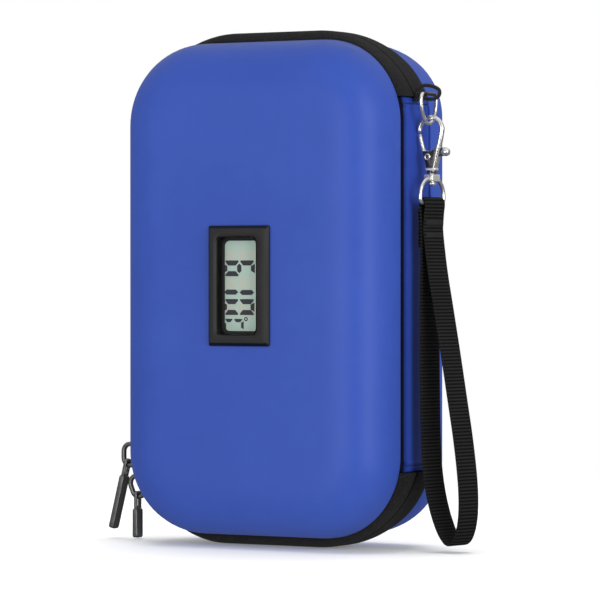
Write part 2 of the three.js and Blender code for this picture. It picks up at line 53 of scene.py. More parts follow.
# ------------------------------------------------------------------ camera and stage
cam_data = bpy.data.cameras.new("photo_camera")
cam_data.lens = 229.995
cam_data.sensor_width = 36
cam_data.clip_start = 0.05
cam_data.clip_end = 20
cam = bpy.data.objects.new("photo_camera", cam_data)
scene.collection.objects.link(cam)
cam.location = (0.81709, -1.32370, 0.11183)
cam.rotation_mode = "QUATERNION"
cam.rotation_quaternion = (Vector((0.00688, 0, 0.09937)) - cam.location).to_track_quat("-Z", "Y")
scene.camera = cam

# ------------------------------------------------------------------ dimensions, in mm
RIM_W, RIM_H, RIM_R = 122.0, 199.0, 33.5
BAND_OUT, BAND_R = 4.4, 41.0
BAND_CORNERS = np.array([46.0, 46.0, BAND_R, 46.0])     # upper right, upper left, lower left, lower right
ZC = BAND_OUT + RIM_H / 2
SPINE_Z0, SPINE_Z1 = 31.2, 180.3
DISPLAY_Z = 105.2
FACE_Y = 35.0
ZIP_Y = -2.0
ARC_X, ARC_Z = -24.4, 41.0
RING_X, HOOK_X, STRAP_X = 66.7, 67.65, 68.2


# ------------------------------------------------------------------ node graph helper
class Graph:
    def __init__(self, name):
        self.m = bpy.data.materials.new(name)
        self.m.use_nodes = True
        self.t = self.m.node_tree
        self.t.nodes.clear()
        self.out = self.t.nodes.new("ShaderNodeOutputMaterial")
        self.b = self.t.nodes.new("ShaderNodeBsdfPrincipled")
        self.t.links.new(self.b.outputs[0], self.out.inputs[0])

    def put(self, socket, value):
        if isinstance(value, bpy.types.NodeSocket):
            self.t.links.new(value, socket)
        elif value is not None:
            socket.default_value = value

    def set(self, **kw):
        for k, v in kw.items():
            name = k.replace("_", " ").title().replace("Ior", "IOR")
            if name == "Base Color" and not isinstance(v, bpy.types.NodeSocket):
                v = (*v, 1.0)
            self.put(self.b.inputs[name], v)
        return self

    def coords(self, which="Object"):
        return self.t.nodes.new("ShaderNodeTexCoord").outputs[which]

    def attr(self, name):
        n = self.t.nodes.new("ShaderNodeAttribute")
        n.attribute_name = name
        return n.outputs["Vector"]

    def xyz(self, v):
        n = self.t.nodes.new("ShaderNodeSeparateXYZ")
        self.put(n.inputs[0], v)
        return n.outputs[0], n.outputs[1], n.outputs[2]

    def vec(self, x, y, z=0.0):
        n = self.t.nodes.new("ShaderNodeCombineXYZ")
        for s, v in zip(n.inputs, (x, y, z)):
            self.put(s, v)
        return n.outputs[0]

    def scale(self, v, x, y, z):
        n = self.t.nodes.new("ShaderNodeVectorMath")
        n.operation = "MULTIPLY"
        self.put(n.inputs[0], v)
        n.inputs[1].default_value = (x, y, z)
        return n.outputs[0]

    def math(self, op, a, b=None, c=None, clamp=False):
        n = self.t.nodes.new("ShaderNodeMath")
        n.operation = op
        n.use_clamp = clamp
        for s, v in zip(n.inputs, (a, b, c)):
            self.put(s, v)
        return n.outputs[0]

    def noise(self, scale, detail=2.0, rough=0.5, vec=None, distort=0.0):
        n = self.t.nodes.new("ShaderNodeTexNoise")
        self.put(n.inputs["Vector"], vec)
        n.inputs["Scale"].default_value = scale
        n.inputs["Detail"].default_value = detail
        n.inputs["Roughness"].default_value = rough
        n.inputs["Distortion"].default_value = distort
        return n.outputs["Fac"]

    def voronoi(self, scale, vec=None, feature="F1", random=1.0):
        n = self.t.nodes.new("ShaderNodeTexVoronoi")
        n.feature = feature
        self.put(n.inputs["Vector"], vec)
        n.inputs["Scale"].default_value = scale
        n.inputs["Randomness"].default_value = random
        return n.outputs["Distance"]

    def ramp(self, fac, stops):
        n = self.t.nodes.new("ShaderNodeValToRGB")
        self.put(n.inputs[0], fac)
        e = n.color_ramp.elements
        while len(e) < len(stops):
            e.new(0.5)
        for x, (p, c) in zip(e, stops):
            x.position = p
            x.color = (*c, 1.0) if len(c) == 3 else c
        return n.outputs[0]

    def rng(self, v, a, b, lo, hi):
        n = self.t.nodes.new("ShaderNodeMapRange")
        self.put(n.inputs[0], v)
        for s, x in zip(list(n.inputs)[1:5], (a, b, lo, hi)):
            s.default_value = x
        return n.outputs[0]

    def mix(self, fac, a, b, blend="MIX"):
        n = self.t.nodes.new("ShaderNodeMix")
        n.data_type = "RGBA"
        n.blend_type = blend
        self.put(n.inputs[0], fac)
        self.put(n.inputs[6], a if isinstance(a, bpy.types.NodeSocket) else (*a, 1.0))
        self.put(n.inputs[7], b if isinstance(b, bpy.types.NodeSocket) else (*b, 1.0))
        return n.outputs[2]

    def bump(self, height, strength, distance, normal=None):
        n = self.t.nodes.new("ShaderNodeBump")
        n.inputs["Strength"].default_value = strength
        n.inputs["Distance"].default_value = distance
        self.put(n.inputs["Height"], height)
        self.put(n.inputs["Normal"], normal)
        return n.outputs[0]

    def edges(self):
        return self.t.nodes.new("ShaderNodeNewGeometry").outputs["Pointiness"]


# ------------------------------------------------------------------ materials
def blue_skin(name, low, high, rough, gloss=0.2, crease_shade=False):
    g = Graph(name)
    co = g.coords()
    soft = g.noise(11, 3, 0.55, co)
    fine = g.noise(150, 4, 0.6, co)
    tone = g.math("ADD", g.math("MULTIPLY", soft, 0.75), g.math("MULTIPLY", fine, 0.25))
    cell = g.voronoi(2300, co, "DISTANCE_TO_EDGE")
    pore = g.noise(5200, 2, 0.6, co)
    grain = g.math("ADD", g.rng(cell, 0.0, 0.12, 0.0, 1.0), g.math("MULTIPLY", pore, 0.5))
    colour = g.ramp(tone, [(0.32, low), (0.68, high)])
    colour = g.mix(g.rng(cell, 0.0, 0.08, 0.16, 0.0), colour, tuple(c * 0.55 for c in low))
    if crease_shade:                                   # painted shade: the cloth darkens towards the front crease
        y = g.math("ADD", g.xyz(co)[1], g.math("MULTIPLY", fine, 0.0006))
        colour = g.mix(g.rng(y, -0.0094, -0.0070, 0.72, 0.0), colour, (0.004, 0.008, 0.040))
    wavy = g.noise(34, 2, 0.5, co)
    n1 = g.bump(wavy, 0.10, 0.0016)
    n2 = g.bump(grain, 0.16, 0.00008, n1)
    g.set(base_color=colour, roughness=g.rng(fine, 0.3, 0.7, rough - 0.05, rough + 0.05), normal=n2)
    g.b.inputs["Specular IOR Level"].default_value = gloss
    return g.m


M_BLUE = blue_skin("shell_blue", (0.0290, 0.0720, 0.375), (0.0370, 0.0870, 0.430), 0.44)
# spine cloth darker than the shells: partly its own colour, partly painted shade from the strap and the recess between
# the rims
M_SPINE = blue_skin("spine_blue", (0.0190, 0.0530, 0.335), (0.0250, 0.0635, 0.380), 0.47, 0.08, True)


def woven(name, dark, light, pu, pv, rough=0.85, sheen=0.25, depth=0.00016, strength=0.9, rib=None, glint_and_slit_shade=0.0):
    """Plain weave over the attribute run: x along, y across, both in mm."""
    g = Graph(name)
    u, v, _ = g.xyz(g.attr("run"))
    co = g.coords()
    wob = g.math("MULTIPLY", g.math("SUBTRACT", g.noise(260, 2, 0.5, co), 0.5), 0.35)
    vv = g.math("DIVIDE", v, pv)
    odd = g.math("MULTIPLY", g.math("FLOORED_MODULO", g.math("FLOOR", vv), 2.0), 0.5)
    uu = g.math("ADD", g.math("ADD", g.math("DIVIDE", u, pu), odd), wob)
    a = g.math("ABSOLUTE", g.math("SINE", g.math("MULTIPLY", vv, math.pi)))
    b = g.math("ABSOLUTE", g.math("SINE", g.math("MULTIPLY", uu, math.pi)))
    h = g.math("MULTIPLY", g.math("POWER", a, 0.6), g.math("POWER", b, 0.7))
    fuzz = g.noise(4200, 3, 0.65, co)
    tone = g.noise(45, 3, 0.6, co)
    height = g.math("ADD", h, g.math("MULTIPLY", fuzz, 0.25))
    colour = g.ramp(height, [(0.05, dark), (0.95, light)])
    colour = g.mix(g.rng(tone, 0.35, 0.75, 0.0, 0.22), colour, tuple(min(1, c * 1.5) for c in light))
    if glint_and_slit_shade:
        # painted highlights: light specks where raised yarns would catch the light
        colour = g.mix(g.rng(g.noise(1500, 2, 0.6, co), 0.50, 0.70, 0.0, glint_and_slit_shade), colour, tuple(min(1, c * 3.2) for c in light))
        # painted shade: a dark line in the slit where the two tapes meet
        gap = g.math("ABSOLUTE", g.math("SUBTRACT", g.xyz(co)[1], ZIP_Y * MM))
        colour = g.mix(g.rng(gap, 0.00022, 0.0006, 0.92, 0.0), colour, (0.0004, 0.0004, 0.0005))
    if rib:
        # painted shade in the grooves between the ribs
        crest = g.math("ABSOLUTE", g.math("SINE", g.math("MULTIPLY", g.math("DIVIDE", u, rib), math.pi)))
        colour = g.mix(g.rng(crest, 0.40, 0.95, 0.97, 0.0), colour, tuple(c * 0.12 for c in dark))
    g.set(base_color=colour, roughness=rough, normal=g.bump(height, strength, depth))
    g.b.inputs["Specular IOR Level"].default_value = 0.14
    g.b.inputs["Sheen Weight"].default_value = sheen
    g.b.inputs["Sheen Roughness"].default_value = 0.45
    return g.m


M_TAPE = woven("zip_tape_weave", (0.0014, 0.0013, 0.0016), (0.0125, 0.0120, 0.0134), 0.62, 0.52, 0.85, 0.02, glint_and_slit_shade=0.6)
M_WEBBING = woven("webbing_weave", (0.0018, 0.0018, 0.0020), (0.0200, 0.0197, 0.0207), 0.68, 0.42, 0.8, 0.0, 0.00012, 0.7, rib=1.36)
M_ELASTIC = woven("elastic_weave", (0.004, 0.004, 0.0045), (0.018, 0.018, 0.0195), 0.5, 0.9, 0.8, 0.06, 0.0002, 0.9)
M_PANEL = woven("panel_weave", (0.012, 0.012, 0.014), (0.045, 0.045, 0.052), 0.8, 0.8, 0.85, 0.2, 0.0002, 0.8)
M_MESH = woven("mesh_yarn", (0.008, 0.008, 0.009), (0.03, 0.03, 0.034), 0.3, 0.3, 0.8, 0.2, 0.00008, 0.7)


def braid(name, dark, light):
    """Braided cord over the attribute run: x along and y round, in mm."""
    g = Graph(name)
    u, v, _ = g.xyz(g.attr("run"))
    co = g.coords()
    p = g.math("DIVIDE", g.math("ADD", u, v), 0.62)
    q = g.math("DIVIDE", g.math("SUBTRACT", u, v), 0.62)
    a = g.math("ABSOLUTE", g.math("SINE", g.math("MULTIPLY", p, math.pi)))
    b = g.math("ABSOLUTE", g.math("SINE", g.math("MULTIPLY", q, math.pi)))
    h = g.math("ADD", g.math("MAXIMUM", a, b), g.math("MULTIPLY", g.noise(5000, 2, 0.6, co), 0.3))
    g.set(base_color=g.ramp(h, [(0.5, dark), (1.0, light)]), roughness=0.75, normal=g.bump(h, 0.8, 0.00018))
    g.b.inputs["Specular IOR Level"].default_value = 0.25
    g.b.inputs["Sheen Weight"].default_value = 0.12
    return g.m


M_CORD = braid("elastic_braid", (0.0025, 0.0025, 0.0028), (0.0105, 0.0105, 0.0112))


def metal(name, low, high, rough, spread, worn, wear=0.0, grain=900, bare=1.0):
    g = Graph(name)
    co = g.coords()
    cloud = g.noise(320, 4, 0.6, co)
    line = g.noise(grain, 3, 0.6, g.scale(co, 1, 1, 0.08))
    colour = g.ramp(cloud, [(0.3, low), (0.7, high)])
    edge = g.rng(g.edges(), 0.52, 0.58, 0.0, wear)
    colour = g.mix(edge, colour, worn)
    g.set(base_color=colour, metallic=bare,
          roughness=g.rng(g.math("ADD", g.math("MULTIPLY", cloud, 0.6), g.math("MULTIPLY", line, 0.4)), 0.3, 0.7, rough - spread, rough + spread),
          normal=g.bump(line, 0.05, 0.00004))
    return g.m


M_NICKEL_SATIN = metal("nickel_satin", (0.50, 0.49, 0.47), (0.58, 0.565, 0.545), 0.32, 0.05, (0.85, 0.84, 0.82), 0.4, bare=0.5)
# very dark nickel: painted dark reflection on flat faces and painted shade where parts meet
M_NICKEL_PAINTED_DARK = metal("nickel_painted_dark", (0.055, 0.053, 0.049), (0.080, 0.077, 0.072), 0.30, 0.05, (0.72, 0.71, 0.69), 0.5)
M_NICKEL = metal("nickel", (0.66, 0.645, 0.62), (0.74, 0.725, 0.70), 0.20, 0.05, (0.85, 0.84, 0.82), 0.4, bare=0.88)
M_GUN = metal("gunmetal", (0.165, 0.160, 0.160), (0.230, 0.223, 0.223), 0.44, 0.07, (0.20, 0.195, 0.19), 0.8)
M_STEEL = metal("cell_steel", (0.52, 0.525, 0.53), (0.62, 0.625, 0.63), 0.28, 0.06, (0.75, 0.75, 0.75), 0.3)
M_BRASS = metal("contact_brass", (0.52, 0.36, 0.10), (0.62, 0.45, 0.14), 0.27, 0.06, (0.75, 0.6, 0.3), 0.3)


def plastic(name, low, high, rough, texture=2600, depth=0.00005, strength=0.35, worn=None, gloss=0.45):
    g = Graph(name)
    co = g.coords()
    pit = g.noise(texture, 2, 0.55, co)
    cloud = g.noise(60, 3, 0.6, co)
    colour = g.ramp(cloud, [(0.3, low), (0.7, high)])
    if worn:
        colour = g.mix(g.rng(g.edges(), 0.52, 0.6, 0.0, 0.5), colour, worn)
    g.set(base_color=colour, roughness=g.rng(cloud, 0.3, 0.7, rough - 0.04, rough + 0.05), normal=g.bump(pit, strength, depth))
    g.b.inputs["Specular IOR Level"].default_value = gloss
    return g.m


M_BEZEL = plastic("bezel_plastic", (0.0175, 0.0172, 0.0187), (0.0215, 0.0211, 0.0227), 0.42, worn=(0.05, 0.05, 0.051), gloss=0.2)
M_CHAMFER = plastic("bezel_edge", (0.0050, 0.0050, 0.0055), (0.0075, 0.0075, 0.0081), 0.32, worn=(0.03, 0.03, 0.03), gloss=0.14)
# near-black for the bezel's well and inner frame: painted shade in the recess
M_RECESS_SHADE = plastic("well_painted_shade", (0.0022, 0.0022, 0.0024), (0.0034, 0.0034, 0.0036), 0.55, gloss=0.12)
M_COIL = plastic("coil_nylon", (0.010, 0.010, 0.011), (0.017, 0.017, 0.018), 0.38, 1500)
M_RUBBER = plastic("zebra_rubber", (0.09, 0.09, 0.095), (0.12, 0.12, 0.125), 0.7)
M_BOARD = plastic("solder_mask", (0.010, 0.075, 0.030), (0.016, 0.10, 0.042), 0.35, 800)
# near-black blue for the crease between front shell and spine: painted shade
M_CREASE_SHADE = plastic("crease_painted_shade", (0.0026, 0.0033, 0.0100), (0.0042, 0.0052, 0.0155), 0.75, gloss=0.05)
M_THREAD = plastic("thread", (0.008, 0.008, 0.009), (0.02, 0.02, 0.022), 0.7, 5200, 0.0001, 0.8)


def lcd_look():
    g = Graph("lcd_glass")
    co = g.coords()
    x, y, z = g.xyz(co)
    # the unlit segment blocks are faintly warmer than the glass between them
    bands = g.math("SINE", g.math("MULTIPLY", g.math("SUBTRACT", z, 0.1035), 2 * math.pi / 0.0108))
    rows = g.math("SINE", g.math("MULTIPLY", g.math("ADD", x, 0.0011), 2 * math.pi / 0.0062))
    patch = g.math("MULTIPLY", g.rng(bands, -0.5, 0.9, 0.0, 1.0), g.rng(rows, -0.9, 0.6, 0.35, 1.0))
    haze = g.noise(160, 3, 0.6, co)
    fac = g.math("ADD", g.math("MULTIPLY", patch, 0.7), g.math("MULTIPLY", haze, 0.3))
    g.set(base_color=g.ramp(fac, [(0.15, (0.392, 0.522, 0.458)), (0.95, (0.466, 0.492, 0.404))]),
          roughness=g.rng(haze, 0.3, 0.7, 0.36, 0.46), normal=g.bump(g.noise(3000, 2, 0.5, co), 0.08, 0.00002))
    g.b.inputs["Specular IOR Level"].default_value = 0.3
    return g.m


M_LCD = lcd_look()


def segment_look():
    g = Graph("lcd_segment")
    co = g.coords()
    n = g.noise(2400, 2, 0.6, co)
    g.set(base_color=g.ramp(n, [(0.3, (0.016, 0.017, 0.026)), (0.7, (0.024, 0.025, 0.036))]), roughness=g.rng(n, 0.3, 0.7, 0.4, 0.5))
    g.b.inputs["Specular IOR Level"].default_value = 0.25
    return g.m


M_SEG = segment_look()


def lens_look():
    g = Graph("clear_window")
    co = g.coords()
    n = g.noise(220, 3, 0.6, co)
    g.set(base_color=g.ramp(n, [(0.3, (0.38, 0.40, 0.40)), (0.7, (0.42, 0.44, 0.44))]), roughness=g.rng(n, 0.3, 0.7, 0.04, 0.09))
    g.b.inputs["Alpha"].default_value = 0.02
    g.b.inputs["Specular IOR Level"].default_value = 0.4
    return g.m


M_LENS = lens_look()


def foil_look():
    g = Graph("foil_foam")
    co = g.coords()
    crease = g.voronoi(95, co, "DISTANCE_TO_EDGE")
    small = g.noise(420, 4, 0.65, co, 0.6)
    big = g.noise(60, 3, 0.6, co, 0.4)
    h = g.math("ADD", g.math("MULTIPLY", big, 0.9), g.math("ADD", g.math("MULTIPLY", small, 0.35), g.rng(crease, 0.0, 0.12, 0.0, 0.5)))
    g.set(base_color=g.ramp(big, [(0.3, (0.60, 0.61, 0.62)), (0.7, (0.74, 0.75, 0.76))]), metallic=0.9,
          roughness=g.rng(small, 0.3, 0.7, 0.26, 0.42), normal=g.bump(h, 0.45, 0.0012))
    return g.m


M_FOIL = foil_look()


def gel_look():
    g = Graph("gel_film")
    co = g.coords()
    cloud = g.noise(40, 4, 0.6, co, 0.5)
    bubble = g.voronoi(260, co)
    wrinkle = g.noise(140, 3, 0.6, co, 0.8)
    colour = g.ramp(cloud, [(0.3, (0.16, 0.42, 0.66)), (0.7, (0.30, 0.56, 0.76))])
    colour = g.mix(g.rng(bubble, 0.0, 0.22, 0.35, 0.0), colour, (0.62, 0.78, 0.88))
    g.set(base_color=colour, roughness=g.rng(cloud, 0.3, 0.7, 0.14, 0.24), normal=g.bump(wrinkle, 0.3, 0.0008))
    g.b.inputs["Subsurface Weight"].default_value = 0.25
    g.b.inputs["Subsurface Radius"].default_value = (0.004, 0.006, 0.009)
    g.b.inputs["Subsurface Scale"].default_value = 1.0
    g.b.inputs["Coat Weight"].default_value = 0.4
    return g.m


M_GEL = gel_look()


# ------------------------------------------------------------------ mesh helpers
def make(name, verts, faces, mat, body, replaces=(), slot=None, run=None, sharp=None, mats=None, face_mat=None):
    me = bpy.data.meshes.new(name)
    me.from_pydata((np.asarray(verts, float) * MM).tolist(), [], [tuple(int(i) for i in f) for f in faces])
    bm = bmesh.new()
    bm.from_mesh(me)
    bmesh.ops.recalc_face_normals(bm, faces=bm.faces)
    bm.to_mesh(me)
    bm.free()
    if run is not None:
        a = me.attributes.new("run", "FLOAT_VECTOR", "POINT")
        r = np.zeros((len(me.vertices), 3), np.float32)
        r[:, :2] = np.asarray(run, np.float32)[:, :2]
        a.data.foreach_set("vector", r.ravel())
    me.shade_smooth()
    if sharp is not None:
        me.set_sharp_from_angle(angle=math.radians(sharp))
    for m in (mats or [mat]):
        me.materials.append(m)
    if face_mat is not None:
        for p, k in zip(me.polygons, face_mat):
            p.material_index = k
    o = bpy.data.objects.new(name, me)
    scene.collection.objects.link(o)
    if body:
        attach(o, body)
    if replaces:
        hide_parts(*replaces)
    return o


STRAP_TURN = -9.5


def swung(v):
    """Points turned about the swivel's upright axis, as the eye and strap hang."""
    a = math.radians(STRAP_TURN)
    q = np.asarray(v, float).copy()
    x, y = q[:, 0] - STRAP_X, q[:, 1].copy()
    q[:, 0] = STRAP_X + x * math.cos(a) - y * math.sin(a)
    q[:, 1] = x * math.sin(a) + y * math.cos(a)
    return q


class Mesh:
    """Collects parts of one piece."""

    def __init__(self):
        self.v, self.f, self.r, self.k = [], [], [], []

    def add(self, verts, faces, run=None, k=0):
        base = len(self.v)
        verts = np.asarray(verts, float)
        self.v.extend(verts.tolist())
        self.f.extend([tuple(int(i) + base for i in f) for f in faces])
        self.r.extend((np.zeros((len(verts), 2)) if run is None else np.asarray(run, float)[:, :2]).tolist())
        self.k.extend(list(k) if np.ndim(k) else [k] * len(faces))
        return self

    def piece(self, name, mat, body, **kw):
        mats = kw.get("mats")
        return make(name, self.v, self.f, mat, body, run=self.r, face_mat=self.k if mats else None, **kw)


def rounded(w, h, r, nc=20, nx=12, nz=20, cx=0.0, cz=0.0):
    """Rounded rectangle as (x, z) points, with points along its straight runs too."""
    pts = []
    rr = list(r) if np.ndim(r) else [r] * 4          # upper right, upper left, lower left, lower right
    corners = [(s * max(w / 2 - q, 0.01), t * max(h / 2 - q, 0.01), a, q) for q, (s, t, a) in zip(rr, ((1, 1, 0), (-1, 1, 90), (-1, -1, 180), (1, -1, 270)))]
    for k, (x, z, a0, q) in enumerate(corners):
        for i in range(nc + 1):
            a = math.radians(a0 + 90 * i / nc)
            pts.append((cx + x + q * math.cos(a), cz + z + q * math.sin(a)))
        n = nx if k in (0, 2) else nz
        x2, z2, a2, q2 = corners[(k + 1) % 4]
        p = pts[-1]
        q = (cx + x2 + q2 * math.cos(math.radians(a2)), cz + z2 + q2 * math.sin(math.radians(a2)))
        for i in range(1, n):
            pts.append((p[0] + (q[0] - p[0]) * i / n, p[1] + (q[1] - p[1]) * i / n))
    return np.array(pts)


def ring_at(xz, y):
    return np.column_stack([xz[:, 0], np.full(len(xz), y), xz[:, 1]])


def loft(rings, wrap=True, closed=False, cap0=False, cap1=False):
    """Quads between rings of equally many points. closed joins the last ring to the first."""
    n, m = len(rings), len(rings[0])
    v = np.concatenate(rings)
    f = []
    for i in range(n if closed else n - 1):
        a, b = i * m, ((i + 1) % n) * m
        for j in range(m if wrap else m - 1):
            k = (j + 1) % m
            f.append((a + j, a + k, b + k, b + j))
    if cap0:
        f.append(tuple(range(m)))
    if cap1:
        f.append(tuple((n - 1) * m + j for j in range(m)))
    return v, f


def catmull(points, per=8, closed=False):
    p = np.asarray(points, float)
    n = len(p)
    out = []
    for i in range(n if closed else n - 1):
        if closed:
            a, b, c, d = p[(i - 1) % n], p[i], p[(i + 1) % n], p[(i + 2) % n]
        else:
            a, b, c, d = p[max(i - 1, 0)], p[i], p[i + 1], p[min(i + 2, n - 1)]
        for k in range(per):
            t = k / per
            out.append(0.5 * ((2 * b) + (c - a) * t + (2 * a - 5 * b + 4 * c - d) * t * t + (3 * b - a - 3 * c + d) * t ** 3))
    if not closed:
        out.append(p[-1])
    return np.array(out)


def even(path, step, closed=False):
    p = np.asarray(path, float)
    if closed:
        p = np.vstack([p, p[:1]])
    d = np.concatenate([[0], np.cumsum(np.linalg.norm(np.diff(p, axis=0), axis=1))])
    n = max(2, int(round(d[-1] / step)))
    s = np.linspace(0, d[-1], n + 1)
    out = np.column_stack([np.interp(s, d, p[:, k]) for k in range(p.shape[1])])
    return out[:-1] if closed else out


def length_of(path):
    return float(np.linalg.norm(np.diff(np.asarray(path, float), axis=0), axis=1).sum())


def tangents(p, closed=False):
    if closed:
        t = np.roll(p, -1, 0) - np.roll(p, 1, 0)
    else:
        t = np.gradient(p, axis=0)
    return t / np.linalg.norm(t, axis=1)[:, None]


def sweep(path, section, binormal=None, closed=False, scale=None, caps=True):
    """Section (a, b) swept along path: b lies along the fixed binormal, or the frame turns as little as it can."""
    p = np.asarray(path, float)
    t = tangents(p, closed)
    if binormal is not None:
        b = np.tile(np.asarray(binormal, float), (len(p), 1))
        n = np.cross(b, t)
        n /= np.linalg.norm(n, axis=1)[:, None]
    else:
        n = np.zeros_like(p)
        ref = np.array([0.0, 0, 1]) if abs(t[0][2]) < 0.9 else np.array([1.0, 0, 0])
        n[0] = np.cross(t[0], ref)
        n[0] /= np.linalg.norm(n[0])
        for i in range(1, len(p)):
            x = n[i - 1] - t[i] * (n[i - 1] @ t[i])
            n[i] = x / np.linalg.norm(x)
        b = np.cross(t, n)
    sec = np.asarray(section, float)
    d = np.concatenate([[0], np.cumsum(np.linalg.norm(np.diff(p, axis=0), axis=1))])
    girth = np.concatenate([[0], np.cumsum(np.linalg.norm(np.diff(sec, axis=0), axis=1))])
    rings, run = [], []
    for i in range(len(p)):
        s = 1.0 if scale is None else scale[i]
        rings.append(p[i] + s * (sec[:, :1] * n[i] + sec[:, 1:] * b[i]))
        run.append(np.column_stack([np.full(len(sec), d[i]), girth]))
    v, f = loft(rings, True, closed, caps and not closed, caps and not closed)
    return v, f, np.concatenate(run)


def circle(r, n=14):
    a = np.arange(n) * 2 * math.pi / n
    return np.column_stack([r * np.cos(a), r * np.sin(a)])


def oval(rx, ry, n=16, e=2.6):
    a = np.arange(n) * 2 * math.pi / n
    c, s = np.cos(a), np.sin(a)
    return np.column_stack([rx * np.sign(c) * np.abs(c) ** (2 / e), ry * np.sign(s) * np.abs(s) ** (2 / e)])


def rod(profile, origin, axis, n=20):
    """Turned piece: profile of (radius, distance along axis)."""
    ax = np.asarray(axis, float)
    ax /= np.linalg.norm(ax)
    ref = np.array([0.0, 0, 1]) if abs(ax[2]) < 0.9 else np.array([1.0, 0, 0])
    u = np.cross(ax, ref)
    u /= np.linalg.norm(u)
    w = np.cross(ax, u)
    c = circle(1.0, n)
    rings = [np.asarray(origin, float) + ax * h + r * (c[:, :1] * u + c[:, 1:] * w) for r, h in profile]
    return loft(rings, True, False, True, True)


def plate(outline, t0, t1, bevel, axis="y", hole=None, steps=3):
    """Flat piece with rounded edges. outline and hole are (a, b) points; the thickness runs along axis."""

    def lift(ab, t):
        a, b = ab[:, 0], ab[:, 1]
        c = np.full(len(ab), t)
        return {"y": np.column_stack([a, c, b]), "x": np.column_stack([c, a, b]), "z": np.column_stack([a, b, c])}[axis]

    def inset(ab, d):
        q = np.asarray(ab, float)
        nxt, prv = np.roll(q, -1, 0), np.roll(q, 1, 0)
        e1, e2 = q - prv, nxt - q
        e1 /= np.maximum(np.linalg.norm(e1, axis=1), 1e-9)[:, None]
        e2 /= np.maximum(np.linalg.norm(e2, axis=1), 1e-9)[:, None]
        n1 = np.column_stack([-e1[:, 1], e1[:, 0]])
        n2 = np.column_stack([-e2[:, 1], e2[:, 0]])
        m = n1 + n2
        m /= np.maximum(np.linalg.norm(m, axis=1), 1e-9)[:, None]
        k = np.maximum((m * n1).sum(1), 0.35)
        area = 0.5 * np.sum(q[:, 0] * nxt[:, 1] - nxt[:, 0] * q[:, 1])
        return q + m * (d / k)[:, None] * (1 if area > 0 else -1)

    arc = [(bevel * (1 - math.sin(a)), bevel * (1 - math.cos(a))) for a in np.linspace(0, math.pi / 2, steps + 1)]
    side = [(i, t0 + h) for i, h in arc] + [(i, t1 - h) for i, h in reversed(arc)]
    if hole is None:
        rings = [lift(inset(outline, i), t) for i, t in side]
        return loft(rings, True, False, True, True)
    outer = [lift(inset(outline, i), t) for i, t in side]
    inner = [lift(inset(hole, -i), t) for i, t in reversed(side)]
    v, f = loft(outer, True)
    v2, f2 = loft(inner, True)
    base = len(v)
    f = list(f) + [tuple(i + base for i in q) for q in f2]
    m, n = len(outline), len(outer)
    # the two flat faces, between outline and hole, which have as many points
    last_o, first_o = (n - 1) * m, 0
    first_i, last_i = base, base + (n - 1) * m
    for j in range(m):
        k = (j + 1) % m
        f.append((last_o + j, last_o + k, first_i + k, first_i + j))
        f.append((first_o + j, first_o + k, last_i + k, last_i + j))
    return np.concatenate([v, v2]), f


def stitch_row(mesh, points, normals, length=2.1, gap=0.9, r=0.24, sink=0.05):
    """Row of thread stitches along a path; each is a short bent capsule."""
    pts = np.asarray(points, float)
    nor = np.asarray(normals, float)
    d = np.concatenate([[0], np.cumsum(np.linalg.norm(np.diff(pts, axis=0), axis=1))])
    total = d[-1]
    n = int((total + gap) // (length + gap))
    start = (total - n * (length + gap) + gap) / 2
    for i in range(n):
        s = start + i * (length + gap) + np.linspace(0, length, 7)
        p = np.column_stack([np.interp(s, d, pts[:, k]) for k in range(3)])
        m = np.column_stack([np.interp(s, d, nor[:, k]) for k in range(3)])
        m /= np.linalg.norm(m, axis=1)[:, None]
        x = np.linspace(-1, 1, 7)
        p = p + m * ((r - sink) * (1 - np.abs(x) ** 3) - r * 0.7 * np.abs(x) ** 3)[:, None]
        v, f, run = sweep(p, circle(r, 8), scale=np.array([0.35, 0.85, 1, 1, 1, 0.85, 0.35]))
        mesh.add(v, f, run)


# ------------------------------------------------------------------ half shells
def shell_profile(steps=16):
    """(inset, height above the rim plane y = 12) from the rim to the flat face, with a fillet that eases in and out."""
    out = [(3.2, 0.0), (2.2, 0.0), (1.0, 0.01), (0.42, 0.05), (0.13, 0.17), (0.02, 0.42), (0.0, 0.9)]
    reach, start, e = 22.4, 0.6, 2.52
    for k in range(1, steps + 1):
        a = (math.pi / 2) * k / steps
        s, c = math.sin(a), math.cos(a)
        h = reach * s ** (2 / e)
        d = reach * (1 - c ** (2 / e))
        if start + h > 2.0:
            out.append((d, start + h))
    return out


def outline(inset, dense=(20, 12, 20), square=0.0):
    r = max(RIM_R - inset - square * inset * math.exp(-inset / 7.0), 2.0)
    return rounded(RIM_W - 2 * inset, RIM_H - 2 * inset, r, *dense, cx=0, cz=ZC)


